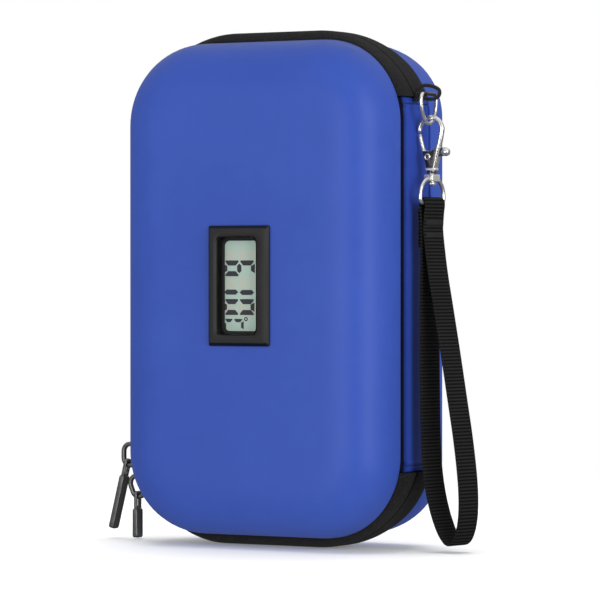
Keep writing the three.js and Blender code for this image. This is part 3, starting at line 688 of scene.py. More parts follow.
def shell(name, side, hole):
    square = 0.0 if hole else 1.5
    rings = [ring_at(outline(d, square=square), side * (12 + h)) for d, h in shell_profile()]
    rings += [ring_at(outline(d), side * FACE_Y) for d in (23.2, 25.0, 28.0, 30.5)]
    inner = [(3.2, 0.0), (3.2, 4.6)] + [(3.2 + 15.2 * (1 - math.cos(a)), 4.6 + 15.2 * math.sin(a)) for a in np.linspace(0.2, math.pi / 2, 7)]
    back = [ring_at(outline(d), side * (12 + h)) for d, h in inner] + [ring_at(outline(28), side * 31.8)]
    if hole:
        w, h = 27.2, 46.6
        cut = rounded(w, h, 1.0, 20, 12, 20, 0, DISPLAY_Z)
        soft = rounded(w + 1.2, h + 1.2, 1.6, 20, 12, 20, 0, DISPLAY_Z)
        rings += [ring_at(rounded(w + g, h + g, 1.6 + g / 4, 20, 12, 20, 0, DISPLAY_Z), side * FACE_Y) for g in (12.0, 6.0, 3.0)]
        rings += [ring_at(soft, side * FACE_Y), ring_at(cut, side * (FACE_Y - 0.35)), ring_at(cut, side * 31.8)]
        all_rings = rings + back[::-1]
        v, f = loft(all_rings[:-1], True, True)
    else:
        mid_o, mid_i = rounded(8, 85, 3.5, 20, 12, 20, 0, ZC), rounded(8, 85, 3.5, 20, 12, 20, 0, ZC)
        v, f = loft([ring_at(mid_i, side * 31.8)] + back[::-1] + rings[1:] + [ring_at(mid_o, side * FACE_Y)], True, False, True, True)
    return make(name, v, f, M_BLUE, "front" if side < 0 else "rear", [name.replace("_skin", "")], "shell_blue", sharp=50)


shell("front_shell_skin", -1, True)
shell("rear_shell_skin", 1, False)


# ------------------------------------------------------------------ path round the case, open at the spine
def outline_run(o, r, z_low, z_high, step=1.6, nc=48):
    """(x, z) points of the outline set out by o with corner radius r, from the right side's top end over the top, left and bottom to its low end."""
    p = rounded(RIM_W + 2 * o, RIM_H + 2 * o, r, nc, 60, 100, 0, ZC)
    x, z = p[:, 0], p[:, 1]
    keep = ~((x > 0) & (z > z_low) & (z < z_high))
    order = np.arange(len(p))
    first = [i for i in order if keep[i] and not keep[i - 1]][0]
    q = np.roll(p, -first, 0)[: keep.sum()]

    # the right side runs up before the corner, so the two ends are set exactly on the cut heights
    def end(at, z_at):
        q = r[0]
        hh, hw = (RIM_H / 2 + o) - q, (RIM_W / 2 + o) - q
        dz = max(abs(z_at - ZC) - hh, 0)
        return np.array([hw + math.sqrt(max(q * q - dz * dz, 0)), z_at])

    return np.vstack([end(0, z_high), q, end(1, z_low)])


def outer_r(o):
    return RIM_R + o * (BAND_CORNERS - RIM_R) / BAND_OUT


def band(profile, z_low, z_high, n=420):
    """Strip swept round the case from a closed profile of (y, outset, corner radius). Returns vertices, faces and run."""
    rows = []
    for y, o, r in profile:
        p = outline_run(o, r, z_low, z_high)
        d = np.concatenate([[0], np.cumsum(np.linalg.norm(np.diff(p, axis=0), axis=1))])
        s = np.linspace(0, d[-1], n)
        q = np.column_stack([np.interp(s, d, p[:, 0]), np.interp(s, d, p[:, 1])])
        rows.append(np.column_stack([q[:, 0], np.full(n, y), q[:, 1]]))
    rows = np.array(rows)                      # profile, along, xyz
    rings = [rows[:, i] for i in range(n)]
    v, f = loft(rings, True, False, True, True)
    girth = np.concatenate([[0], np.cumsum([math.hypot(profile[i + 1][0] - profile[i][0], profile[i + 1][1] - profile[i][1]) for i in range(len(profile) - 1)])])
    mid = rows[len(profile) // 4]
    along = np.concatenate([[0], np.cumsum(np.linalg.norm(np.diff(mid, axis=0), axis=1))])
    run = np.concatenate([np.column_stack([np.full(len(profile), along[i]), girth]) for i in range(n)])
    return v, f, run, float(along[-1]), float(girth[-1])


SPINE_CUT = (SPINE_Z0 - 0.05, SPINE_Z1 + 0.05)


def zip_tape(name, side, edge, lip):
    """Tape from under the shell's rim over the bulge to the folded edge at the slit."""
    outer = catmull([(side * 11.9, -0.55), (side * 11.55, 0.55), (side * 10.7, 1.85), (side * 9.2, 3.3), (side * 7.2, 4.2), (side * 4.6, 4.38), (edge + lip * 1.7, 4.4), (edge + lip * 0.95, 4.32)], 3)
    tip = [(edge + lip * 0.55, 4.12), (edge + lip * 0.3, 3.82), (edge + lip * 0.06, 3.5), (edge + lip * 0.45, 3.26)]
    inner = [(edge + lip * 1.3, 3.2), (side * 6.6, 3.2), (side * 8.2, 2.4), (side * 9.6, 1.1), (side * 10.7, -0.7), (side * 11.3, -0.95)]
    prof = [(y, o, outer_r(o)) for y, o in outer] + [(y, o, outer_r(o)) for y, o in tip]
    prof += [(y, o, outer_r(o + 1.2) - 1.2) for y, o in inner]
    v, f, run, along, girth = band(prof, *SPINE_CUT)
    piece = make(name, v, f, M_TAPE, "front" if side < 0 else "rear", [name.replace("_cloth", "")], "zip_tape", run=run, sharp=60)
    return piece


zip_tape("front_zip_tape_cloth", -1, ZIP_Y + 0.05, -1)
zip_tape("rear_zip_tape_cloth", 1, ZIP_Y - 0.05, 1)


def zip_coil(name, y_mid, side):
    """Nylon coil: a flat helix sewn to the back of the tape's edge."""
    o = 2.4
    p = outline_run(o, BAND_CORNERS - (BAND_OUT - o), SPINE_Z0 - 2.0, SPINE_Z1 + 2.0)
    p = even(p, 0.16)
    d = np.concatenate([[0], np.cumsum(np.linalg.norm(np.diff(p, axis=0), axis=1))])
    t = np.gradient(p, axis=0)
    t /= np.linalg.norm(t, axis=1)[:, None]
    out = np.column_stack([t[:, 1], -t[:, 0]])
    centre = np.array([0.0, ZC])
    out *= np.sign(((p - centre) * out).sum(1))[:, None]
    a = 2 * math.pi * d / 1.5
    lift = 0.36 * np.sin(a)
    q = np.column_stack([p[:, 0] + out[:, 0] * lift, y_mid + 0.72 * np.cos(a), p[:, 1] + out[:, 1] * lift])
    v, f, run = sweep(q, circle(0.21, 5))
    return make(name, v, f, M_COIL, "front" if side < 0 else "rear", [name.replace("_wire", "")], "zip_coil", run=run)


zip_coil("front_zip_coil_wire", -3.5, -1)
zip_coil("rear_zip_coil_wire", -0.5, 1)


# ------------------------------------------------------------------ spine panel
def spine():
    n = 150
    z = np.linspace(SPINE_Z0, SPINE_Z1, n)
    hem = 4.2

    def x_out(zz, off):
        hh, hw, r = RIM_H / 2 - RIM_R, RIM_W / 2 - RIM_R, RIM_R + off
        dz = np.maximum(np.abs(zz - ZC) - hh, 0)
        return hw + np.sqrt(r * r - dz * dz)

    cross = [(-11.8, -1.85), (-11.7, -1.62), (-11.4, -1.28), (-11.05, -0.96), (-10.6, -0.62), (-10.0, -0.33), (-9.6, -0.21), (-9.2, -0.12), (-8.2, 0.02), (-7.0, 0.09), (-3.5, 0.15), (0.0, 0.17)]
    cross = cross + [(-y, o) for y, o in reversed([(-11.8, -1.75), (-11.72, -1.45), (-11.45, -1.0), (-11.05, -0.58), (-10.35, -0.2), (-9.7, -0.03), (-8.8, 0.06), (-7.0, 0.11), (-3.5, 0.15)])]
    back = [(11.6, -1.95), (7.0, -2.0), (0.0, -2.0), (-7.0, -2.0), (-11.6, -1.95)]
    rings = []
    zz = np.unique(np.concatenate([z, SPINE_Z0 + np.linspace(0, 7, 36), SPINE_Z1 - np.linspace(0, 7, 36)]))
    for k in zz:
        e = min(k - SPINE_Z0, SPINE_Z1 - k)
        lift = 0.42 if e < hem else 0.42 * max(0.0, 1 - (e - hem) / 0.9) ** 1.6        # turned hem, two layers thick
        groove = -0.30 * math.exp(-((e - 2.7) / 0.42) ** 2)                              # pulled in by the stitches
        soft = -0.75 * max(0.0, 1 - e / 0.55) ** 2                                        # rounded fold at the end
        ring = [(x_out(k, 0) + o + (lift + groove + soft) * max(0.0, 1 - (abs(y) / 11.9) ** 10), y, k) for y, o in cross]
        ring += [(x_out(k, 0) + o, y, k) for y, o in back]
        rings.append(np.array(ring))
    v, f = loft(rings, True, False, True, True)
    # faces along the front edge take the crease material: painted shade in the crease
    edge = [1 if len(q) == 4 and v[list(q), 1].max() < -9.5 else 0 for q in f]
    make("spine_panel_skin", v, f, M_SPINE, "spine", ["spine_panel"], "spine_blue", sharp=60, mats=[M_SPINE, M_CREASE_SHADE], face_mat=edge)
    thread = Mesh()
    for e, s in ((2.7, SPINE_Z0), (-2.7, SPINE_Z1)):
        k = s + e
        y = np.linspace(-10.6, 10.6, 60)
        stitch_row(thread, np.column_stack([np.full(60, x_out(k, 0) + 0.30), y, np.full(60, k)]), np.tile([1.0, 0, 0], (60, 1)), 2.3, 0.35, 0.17)
    thread.piece("spine_stitching", M_THREAD, "spine", slot="elastic_black")
    # cloth that carries on from the spine's edges into the shells' rims
    # the front strip takes the near-black crease material, a painted shade
    for name, side, other, mat in (("spine_front_joining", -1, "front", M_CREASE_SHADE), ("spine_rear_joining", 1, "rear", M_SPINE)):
        ys = (10.9, 11.3, 11.5, 11.65, 11.8, 11.9, 12.0, 12.1, 12.25, 12.45, 12.7, 13.1)
        rings = []
        for k in np.linspace(SPINE_Z0 + 0.25, SPINE_Z1 - 0.25, 60):
            rings.append(np.array([(x_out(k, -1.5), side * y, k) for y in ys] + [(x_out(k, -2.2), side * y, k) for y in reversed(ys)]))
        v, f = loft(rings, True, False, True, True)
        o = make(name, v, f, mat, None, slot="spine_blue", sharp=60)
        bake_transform(o)


spine()


# ------------------------------------------------------------------ thermometer
def thermometer():
    y0 = -FACE_Y
    nc, nx, nz = 8, 4, 6

    def r(w, h, rad, y, right=0.0):
        return ring_at(rounded(w - right, h, rad, nc, nx, nz, -right / 2, DISPLAY_Z), y0 + y)

    # frame: foot on the shell, sloped outer edge, flat face, rolled lip and the well down to the glass
    rings = [r(28.0, 47.4, 1.0, 0.55), r(28.0, 47.4, 1.0, 0.05), r(28.6, 48.0, 0.75, -0.05), r(28.6, 48.0, 0.75, -0.42), r(28.45, 47.85, 0.7, -0.58),
             r(26.2, 45.6, 0.55, -1.74), r(25.95, 45.35, 0.55, -1.87), r(25.6, 45.0, 0.55, -1.9), r(22.8, 42.6, 3.4, -1.9),
             r(20.75, 40.65, 3.4, -1.9, 0.95), r(20.6, 40.5, 3.4, -1.86, 0.95), r(20.4, 40.3, 3.35, -1.68, 0.95), r(20.2, 40.1, 3.3, -1.62, 0.95), r(19.6, 39.5, 3.1, -1.58, 0.95), r(19.2, 39.1, 3.0, -1.48, 0.95),
             r(18.9, 38.8, 2.9, -1.2, 0.95), r(18.75, 38.65, 2.8, -0.8, 0.95), r(18.5, 38.4, 2.7, 0.3, 0.95), r(18.4, 38.3, 2.6, 0.85, 0.95),
             r(19.6, 39.5, 3.2, 0.85), r(21.0, 41.0, 3.3, 0.6), r(21.2, 41.2, 3.3, 0.55)]
    v, f = loft(rings, True, True)
    # the well's walls take the near-black: painted shade in the recess
    well = [1 if np.abs(v[list(q), 0]).max() < 9.9 and np.abs(v[list(q), 2] - DISPLAY_Z).max() < 19.85 else 0 for q in f]
    well = [2 if not w and np.ptp(v[list(q), 1]) > 0.3 else w for w, q in zip(well, f)]
    make("display_bezel_frame", v, f, M_BEZEL, "front", ["display_bezel"], "bezel_black", sharp=38, mats=[M_BEZEL, M_RECESS_SHADE, M_CHAMFER], face_mat=well)
    # dark inner frame between window and glass, in the near-black of the painted recess shade
    rings = [r(22.0, 41.4, 2.6, 1.92), r(22.0, 41.4, 2.6, 1.76), r(16.3, 36.2, 2.2, 1.76, 0.5), r(16.1, 36.0, 2.2, 1.92, 0.5)]
    v, f = loft(rings, True, True)
    make("display_mask", v, f, M_RECESS_SHADE, "front", slot="bezel_black")
    # window and liquid crystal glass keep their CAD places
    v, f = plate(rounded(22.8, 42.2, 0.8, 4, 3, 4, 0, DISPLAY_Z), y0 + 0.9, y0 + 1.7, 0.15)
    make("display_lens_pane", v, f, M_LENS, "front", ["display_lens"], "clear_window", sharp=40)
    v, f = plate(rounded(22.4, 41.8, 0.5, 4, 3, 4, 0, DISPLAY_Z), y0 + 2.0, y0 + 3.8, 0.15)
    make("lcd_panel_glass", v, f, M_LCD, "front", ["lcd_panel"], "lcd_glass", sharp=40)

    seg = Mesh()

    def poly(points):
        """Flat segment; points are drawing units: x runs to +X and y to -Z."""
        q = np.array([((x - 539.2) / 22.55, DISPLAY_Z - (y - 788.0) / 26.4) for x, y in points])
        a = 0.5 * np.sum(q[:, 0] * np.roll(q[:, 1], -1) - np.roll(q[:, 0], -1) * q[:, 1])
        if a < 0:
            q = q[::-1]
        n = len(q)
        top, low = ring_at(q, y0 + 1.975), ring_at(q, y0 + 1.999)
        seg.add(*loft([low, top], True, False, True, True))

    def upright(xa, xb, y, t):
        """Bar along the character's height with pointed ends."""
        h = t / 2
        poly([(xa, y), (xa + h, y - h), (xb - h, y - h), (xb, y), (xb - h, y + h), (xa + h, y + h)])

    def side_bar(xa, xb, y, t, outer):
        """Upright whose outer edge is the longer one."""
        h = t / 2
        o, i = (-h, h) if outer < 0 else (h, -h)
        poly([(xa + 4, y + o), (xb - 4, y + o), (xb + 2, y + o * 0.5), (xb - t * 0.56, y + i), (xa + t * 0.56, y + i), (xa - 2, y + o * 0.5)])

    def cross_bar(x, ya, yb, t, outer):
        """Bar across the character, at its top, middle or foot."""
        h = t / 2
        if outer == 0:
            poly([(x, ya), (x + h, ya + h), (x + h, yb - h), (x, yb), (x - h, yb - h), (x - h, ya + h)])
        else:
            o, i = (h, -h) if outer > 0 else (-h, h)
            poly([(x + o, ya + 2), (x + o, yb - 2), (x + i, yb - t * 0.62), (x + i, ya + t * 0.62)])

    T = 54
    # six
    side_bar(362, 502, 547, T, -1)
    side_bar(522, 664, 547, T, -1)
    side_bar(362, 502, 660, T, 1)
    cross_bar(510, 553, 655, 46, 0)
    cross_bar(655, 553, 656, 42, 1)
    cross_bar(362, 553, 656, 42, -1)
    # one
    upright(350, 500, 854, T)
    upright(513, 668, 857, T)
    # nought
    side_bar(362, 497, 954, T, -1)
    side_bar(518, 664, 954, T, -1)
    side_bar(362, 497, 1068, T, 1)
    side_bar(518, 664, 1068, T, 1)
    cross_bar(650, 960, 1062, 42, 1)
    cross_bar(358, 960, 1062, 42, -1)
    # degree ring
    c = np.array([580.0, 1137.0])
    a = np.arange(20) * 2 * math.pi / 20
    ro = np.column_stack([c[0] + 22 * 22.55 / 24.4 * np.cos(a), c[1] + 23 * np.sin(a)])
    ri = np.column_stack([c[0] + 10 * 22.55 / 24.4 * np.cos(a), c[1] + 10.5 * np.sin(a)])
    conv = lambda p: np.column_stack([(p[:, 0] - 539.2) / 22.55, DISPLAY_Z - (p[:, 1] - 788.0) / 26.4])
    seg.add(*loft([ring_at(conv(ro), y0 + 1.999), ring_at(conv(ro), y0 + 1.975), ring_at(conv(ri), y0 + 1.975), ring_at(conv(ri), y0 + 1.999)], True, True))
    # small C
    t = 36
    side_bar(362, 436, 1153, t, -1)
    side_bar(458, 540, 1153, t, -1)
    cross_bar(543, 1158, 1246, 28, 1)
    cross_bar(352, 1162, 1262, 36, -1)
    seg.piece("lcd_segments", M_SEG, "front", slot="lcd_glass", sharp=30)


thermometer()


# ------------------------------------------------------------------ zip sliders and pulls
def turned(p, deg, about):
    """Points turned about the Y axis through about (x, z), as three.js turns them."""
    a = math.radians(deg)
    q = np.asarray(p, float).copy()
    x, z = q[:, 0] - about[0], q[:, 2] - about[1]
    q[:, 0] = about[0] + x * math.cos(a) + z * math.sin(a)
    q[:, 2] = about[1] - x * math.sin(a) + z * math.cos(a)
    return q


def chaikin(points, times=2):
    p = np.asarray(points, float)
    for _ in range(times):
        q = np.roll(p, -1, 0)
        p = np.stack([0.75 * p + 0.25 * q, 0.25 * p + 0.75 * q], 1).reshape(-1, p.shape[1])
    return p


def slider(name, body, curved):
    m = Mesh()

    def bend(v):
        if not curved:
            return v
        r, a = -v[:, 0], -v[:, 2] / 42.3
        return np.column_stack([-r * np.cos(a), v[:, 1], -r * np.sin(a)])

    zs = (-4.7, 4.7) if curved else (-4.3, 6.5)
    mid = (zs[0] + zs[1]) / 2
    half = (zs[1] - zs[0]) / 2
    shape = [(-2.5, -1.0), (2.5, -1.0), (4.0, -0.72), (4.3, -0.1), (4.9, 0.45), (4.7, 0.85), (3.2, 1.0), (1.0, 0.86), (-1.0, 0.86), (-3.2, 1.0), (-4.7, 0.85), (-4.9, 0.45), (-4.3, -0.1), (-4.0, -0.72)]
    o = chaikin([(y + ZIP_Y, mid + half * k) for y, k in shape], 2)
    v, f = plate(o, -43.3, -41.35, 0.6, "x")
    m.add(bend(v), f)
    # raised rib under the crown
    o = chaikin([(ZIP_Y - 1.5, mid - half * 0.82), (ZIP_Y + 1.5, mid - half * 0.82), (ZIP_Y + 1.7, mid + half * 0.7), (ZIP_Y - 1.7, mid + half * 0.7)], 2)
    v, f = plate(o, -43.75, -43.0, 0.35, "x")
    m.add(bend(v), f)
    # back plate and post
    lo, hi = (-3.2, 3.2) if curved else (2.2, 6.4)
    o = chaikin([(ZIP_Y - 4.8, lo), (ZIP_Y + 4.8, lo), (ZIP_Y + 4.8, hi), (ZIP_Y - 4.8, hi)], 2)
    v, f = plate(o, -37.9, -36.65, 0.35, "x")
    m.add(bend(v), f)
    plo, phi = (-2.0, 2.0) if curved else (3.0, 6.0)
    o = chaikin([(ZIP_Y - 0.3, plo), (ZIP_Y + 0.3, plo), (ZIP_Y + 0.3, phi), (ZIP_Y - 0.3, phi)], 1)
    v, f = plate(o, -41.6, -37.6, 0.05, "x")
    m.add(bend(v), f)
    # crown
    r, h = 3.1, 4.45
    path = [(-42.3, h), (-45.5, h)]
    path += [(-53.35 + r - r * math.sin(a), h - r + r * math.cos(a)) for a in np.linspace(0, math.pi / 2, 9)]
    path += [(-53.35 + r - r * math.cos(a), -h + r - r * math.sin(a)) for a in np.linspace(0, math.pi / 2, 9)]
    path += [(-45.5, -h), (-42.3, -h)]
    p = even(np.array([(x, ZIP_Y, z) for x, z in path]), 0.4)
    v, f, _ = sweep(p, oval(0.95, 0.95, 18, 3.0), (0, 1, 0))
    m.add(v, f)
    w = np.array(m.v)
    w += [ARC_X, 0, ARC_Z if curved else 34.8]
    if curved:
        w = turned(w, -22.5, (ARC_X, ARC_Z))
    m.v = w.tolist()
    m.piece(name, M_GUN, body, replaces=[name.replace("_cast", "")], slot="gunmetal", sharp=42)


slider("upper_zip_slider_cast", "upper_slider", False)
slider("lower_zip_slider_cast", "lower_slider", True)


def recessed(outline2, t, bevel, margin, depth):
    """Bar with rounded edges and a shallow panel sunk into both broad faces, thickness along X."""
    rings = []
    q = np.asarray(outline2, float)
    c = q.mean(0)
    span = np.abs(q - c).max(0)

    def ins(d):
        return c + (q - c) * (1 - d / span)

    side = [(margin + 0.22, -t + depth), (margin, -t)]
    side += [(bevel * (1 - math.sin(a)), -t + bevel * (1 - math.cos(a))) for a in np.linspace(0, math.pi / 2, 5)]
    side += [(i, -x) for i, x in reversed(side)]
    for i, x in side:
        s = ins(i)
        rings.append(np.column_stack([np.full(len(s), x), s[:, 0], s[:, 1]]))
    return loft(rings, True, False, True, True)


def pull(name, body, length, deg, at):
    m = Mesh()
    eye_o = rounded(3.7, 8.3, 1.3, 6, 3, 5, 0, -3.4)
    eye_i = rounded(2.0, 5.4, 0.8, 6, 3, 5, 0, -3.2)
    m.add(*plate(eye_o, -0.8, 0.8, 0.4, "x", eye_i))
    n = length - 6.5
    m.add(*recessed(rounded(4.4, n, 1.0, 6, 3, 8, 0, -6.5 - n / 2), 1.25, 0.36, 0.72, 0.14))
    w = turned(np.array(m.v), deg, (0, 0)) + [at[0], ZIP_Y, at[1]]
    m.v = w.tolist()
    m.piece(name, M_GUN, body, replaces=[name.replace("_cast", "")], slot="gunmetal", sharp=40)


UP_AT = (-75.75, 32.35)
LOW_AT = (-70.904, 19.086)
pull("upper_zip_pull_cast", "upper_pull", 29.2, 14.5, UP_AT)
pull("lower_zip_pull_cast", "lower_pull", LOW_AT[1] - 0.5, 0, LOW_AT)


# ------------------------------------------------------------------ cord loop and ring
# both ends run on inside the hem, where they are sewn in
CORD = [(59.2, -1.2, 176.4), (59.5, -1.2, 177.8), (60.6, -1.2, 178.9), (61.9, -1.2, 179.6), (62.3, -1.3, 181.2), (63.4, -1.1, 181.6), (64.9, -0.9, 179.9), (66.9, -0.8, 179.3),
        (69.3, -0.4, 179.3), (71.0, 0, 180.2), (71.6, 0.2, 181.6), (71.0, 0.5, 183.0), (69.2, 0.8, 184.0), (66.6, 0.9, 184.7), (64.2, 0.8, 184.8), (62.7, 0.6, 184.2), (62.1, 0.5, 182.8),
        (62.2, 0.5, 181.2), (61.9, 0.5, 179.6), (60.6, 0.5, 178.9), (59.5, 0.5, 177.8), (59.2, 0.5, 176.4)]
cord_path = even(catmull(CORD, 10), 0.35)
v, f, run = sweep(cord_path, circle(0.75, 14))
cord_piece = make("cord_loop_braid", v, f, M_CORD, "spine", ["cord_loop"], "elastic_black", run=run)


def d_path(half_w, top, bottom, r, n=20):
    pts = [(half_w - r + r * math.cos(a), top - r + r * math.sin(a)) for a in np.linspace(0, math.pi / 2, 9)]
    pts += [(-half_w + r + r * math.cos(a), top - r + r * math.sin(a)) for a in np.linspace(math.pi / 2, math.pi, 9)]
    drop = top - r - bottom
    pts += [(half_w * math.cos(a), top - r + drop * math.sin(a)) for a in np.linspace(math.pi, 2 * math.pi, 40)[1:-1]]
    return np.array(pts)


ring_path = np.array([(RING_X, y, z) for y, z in d_path(6.05, 181.35, 169.55, 2.2)])
v, f, run = sweep(even(ring_path, 0.5, True), circle(0.78, 16), (1, 0, 0), True)
# painted shade and reflection of the black cord on the ring's top bar, where the cord wraps it
shaded_bar = [1 if v[list(q), 2].mean() > 180.5 and np.abs(v[list(q), 1]).mean() < 5.0 else 0 for q in f]
make("d_ring_wire", v, f, M_NICKEL, "ring", ["d_ring"], "nickel", run=run, mats=[M_NICKEL, M_NICKEL_PAINTED_DARK], face_mat=shaded_bar)


# ------------------------------------------------------------------ lobster clasp
def clasp():
    body = Mesh()
    c, r = (HOOK_X, 166.9), 5.1
    line = [(69.2, 152.6), (69.8, 154.6), (70.4, 157), (71.2, 160), (72.1, 163.6)]
    line += [(c[0] + r * math.cos(a), c[1] + r * math.sin(a)) for a in np.radians(np.linspace(4, 189, 30))]
    p = even(catmull([(x, 0, z) for x, z in line], 4), 0.35)
    k = np.linspace(0, 1, len(p))
    taper = np.interp(k, [0, 0.3, 0.75, 0.985, 1], [1.12, 1.0, 0.92, 0.86, 0.55])
    v, f, _ = sweep(p, oval(1.1, 1.12, 18, 2.3), (0, 1, 0), scale=taper)
    body.add(v, f)
    # two cheeks either side of the slot for the gate
    cheek = chaikin([(66.3, 151.4), (68, 151.3), (69.9, 151.4), (70.5, 153.5), (71.1, 156.2), (71.8, 159.4), (71.4, 160.5), (70.3, 160.0), (69.3, 159.05), (67.3, 158.8), (64.7, 158.85), (64.45, 158.2), (65.4, 155.6)], 2)
    for y0, y1 in ((-1.72, -0.82), (0.82, 1.72)):
        v, f = plate(cheek, y0, y1, 0.3, "y")
        # the cheeks' flat faces take the dark nickel: a painted dark reflection
        body.add(v, f, k=[1 if np.ptp(v[list(q), 1]) < 0.02 else 0 for q in f])
    # web along the right edge and the foot that closes the two cheeks
    body.add(*plate(chaikin([(68.4, 152), (69.8, 152), (70.9, 156.2), (71.4, 159), (70.1, 159), (69.1, 156)], 2), -0.95, 0.95, 0.2, "y"))
    body.add(*plate(rounded(3.9, 2.0, 0.5, 5, 4, 2, 68.1, 152.2), -1.6, 1.6, 0.3, "y"))
    # flange above the swivel
    fl = rounded(4.9, 4.1, 1.3, 6, 4, 3, 68.15, 0.0)
    body.add(*plate(fl, 150.95, 152.0, 0.35, "z"), k=2)
    # washer between the flange and the eye, in the dark nickel: painted shade in the gap
    body.add(*rod([(1.5, 150.98), (1.95, 150.9), (2.0, 150.6), (1.75, 150.3), (2.0, 150.0), (1.95, 149.7), (1.5, 149.6)], (STRAP_X, 0, 0), (0, 0, 1), 24), k=1)
    # stem with its headed end inside the eye
    body.add(*rod([(1.1, 151.2), (1.1, 146.3), (1.8, 146.05), (1.86, 145.6), (1.6, 145.05), (1.1, 144.8)], (STRAP_X, 0, 0), (0, 0, 1), 20))
    body.piece("clasp_body_cast", M_NICKEL, "clasp", replaces=["clasp_body"], slot="nickel", sharp=45, mats=[M_NICKEL, M_NICKEL_PAINTED_DARK, M_NICKEL_SATIN])

    rivet = [(0.76, -1.3), (0.78, -2.3), (0.88, -2.56), (1.1, -2.66), (1.32, -2.52), (1.44, -2.25), (1.44, -2.05), (0.9, -1.95)]
    rivet += [(q, -h) for q, h in reversed(rivet)]
    v, f = rod(rivet, (67.4, 0, 156.3), (0, 1, 0), 24)
    make("clasp_rivet_tube", v, f, M_NICKEL, "clasp", ["clasp_rivet"], "nickel", sharp=45)

    s = np.linspace(0, 1, 150)
    helix = np.column_stack([66.5 + 3.0 * s, 0.32 * np.cos(2 * math.pi * 8 * s), 153.72 + 0.32 * np.sin(2 * math.pi * 8 * s)])
    v, f, run = sweep(helix, circle(0.1, 6))
    make("clasp_spring_wire", v, f, M_STEEL, "clasp", ["clasp_spring"], "cell_steel", run=run)

    gate = Mesh()
    g = even(catmull([(66.3, 0, 157.0), (64.9, 0, 158.2), (64.1, 0, 159.6), (63.3, 0, 162.4), (62.58, 0, 165.3)], 8), 0.3)
    k = np.linspace(0, 1, len(g))
    v, f, _ = sweep(g, oval(0.84, 0.8, 16, 2.6), (0, 1, 0), scale=np.interp(k, [0, 0.9, 1], [1.0, 1.0, 0.8]))
    gate.add(v, f)
    gate.add(*rod([(1.3, -0.62), (1.85, -0.5), (1.9, 0), (1.85, 0.5), (1.3, 0.62)], (67.4, 0, 156.3), (0, 1, 0), 22))
    # lever in the dark nickel: a painted dark reflection
    t = even(catmull([(68.2, 0, 156.9), (70.4, 0, 157.9), (72.0, 0, 158.2), (73.6, 0, 158.3), (75.0, 0, 158.25)], 8), 0.3)
    v, f, _ = sweep(t, oval(1.7, 0.68, 16, 3.4), (0, 1, 0))
    gate.add(v, f, k=1)
    # rounded thumb pad, wider than the lever
    pad = [(0.95, -1.0), (1.45, -0.92), (1.6, -0.7), (1.66, -0.3), (1.66, 0.2), (1.56, 0.9), (1.27, 1.45), (0.68, 1.75)]
    v, f = rod(pad, (74.4, 0, 158.25), (1, 0, 0), 24)
    gate.add(v, f)
    gate.piece("clasp_gate_cast", M_NICKEL, "gate", replaces=["clasp_gate"], slot="nickel", sharp=45, mats=[M_NICKEL, M_NICKEL_PAINTED_DARK])

    eye = Mesh()
    half = [(0.0, 148.3), (2.3, 148.0), (4.3, 146.95), (6.0, 145.2), (7.0, 143.0), (7.3, 140.8), (7.15, 139.2), (6.3, 138.25), (4.6, 138.2), (2.3, 138.2), (0.0, 138.2)]
    full = [(STRAP_X, y, z) for y, z in half] + [(STRAP_X, -y, z) for y, z in reversed(half[1:-1])]
    v, f, _ = sweep(even(catmull(full, 8, True), 0.45, True), circle(0.82, 16), (1, 0, 0), True)
    eye.add(v, f)
    eye.add(*plate(rounded(4.7, 5.5, 0.9, 6, 3, 3, STRAP_X, 0), 146.6, 149.4, 0.5, "z", rounded(2.9, 2.9, 1.4, 6, 3, 3, STRAP_X, 0)), k=1)
    eye.v = swung(eye.v).tolist()
    eye.piece("swivel_eye_cast", M_NICKEL, "swivel", replaces=["swivel_eye"], slot="nickel", sharp=45, mats=[M_NICKEL, M_NICKEL_SATIN])


clasp()


# ------------------------------------------------------------------ wrist strap
def ribbed(path, width, closed, pitch=1.36, half=0.42, rib=0.17, per=6, taper=0.0):
    """Webbing with cross ribs along an (x, z) path; its width lies along Y."""
    total = length_of(np.vstack([path, path[:1]]) if closed else path)
    count = round(total / pitch)
    p = even(path, total / (count * per), closed)
    n = len(p)
    p3 = np.column_stack([p[:, 0], np.zeros(n), p[:, 1]])
    t = tangents(p3, closed)
    nor = np.cross(np.tile([0.0, 1, 0], (n, 1)), t)
    b = np.concatenate([np.linspace(-1, 1, 15)])
    b = np.sign(b) * np.abs(b) ** 0.75
    rings, run = [], []
    for i in range(n):
        ph = i / per
        bump = rib * abs(math.sin(math.pi * ph)) ** 0.6
        scallop = 1 + 0.006 * abs(math.sin(math.pi * ph))
        w = width / 2 * scallop
        h = (half + bump) * np.sqrt(np.maximum(1 - np.abs(b) ** 16, 0.02))
        top = p3[i] + nor[i] * h[:, None] + np.outer(b * w, [0, 1, 0])
        low = p3[i] - nor[i] * h[::-1][:, None] + np.outer(b[::-1] * w, [0, 1, 0])
        rings.append(np.vstack([top, low]))
        s = ph * pitch
        run.append(np.column_stack([np.full(30, s), np.concatenate([b * w, b[::-1] * w])]))
    v, f = loft(rings, True, closed, not closed, not closed)
    return v, f, np.concatenate(run), total


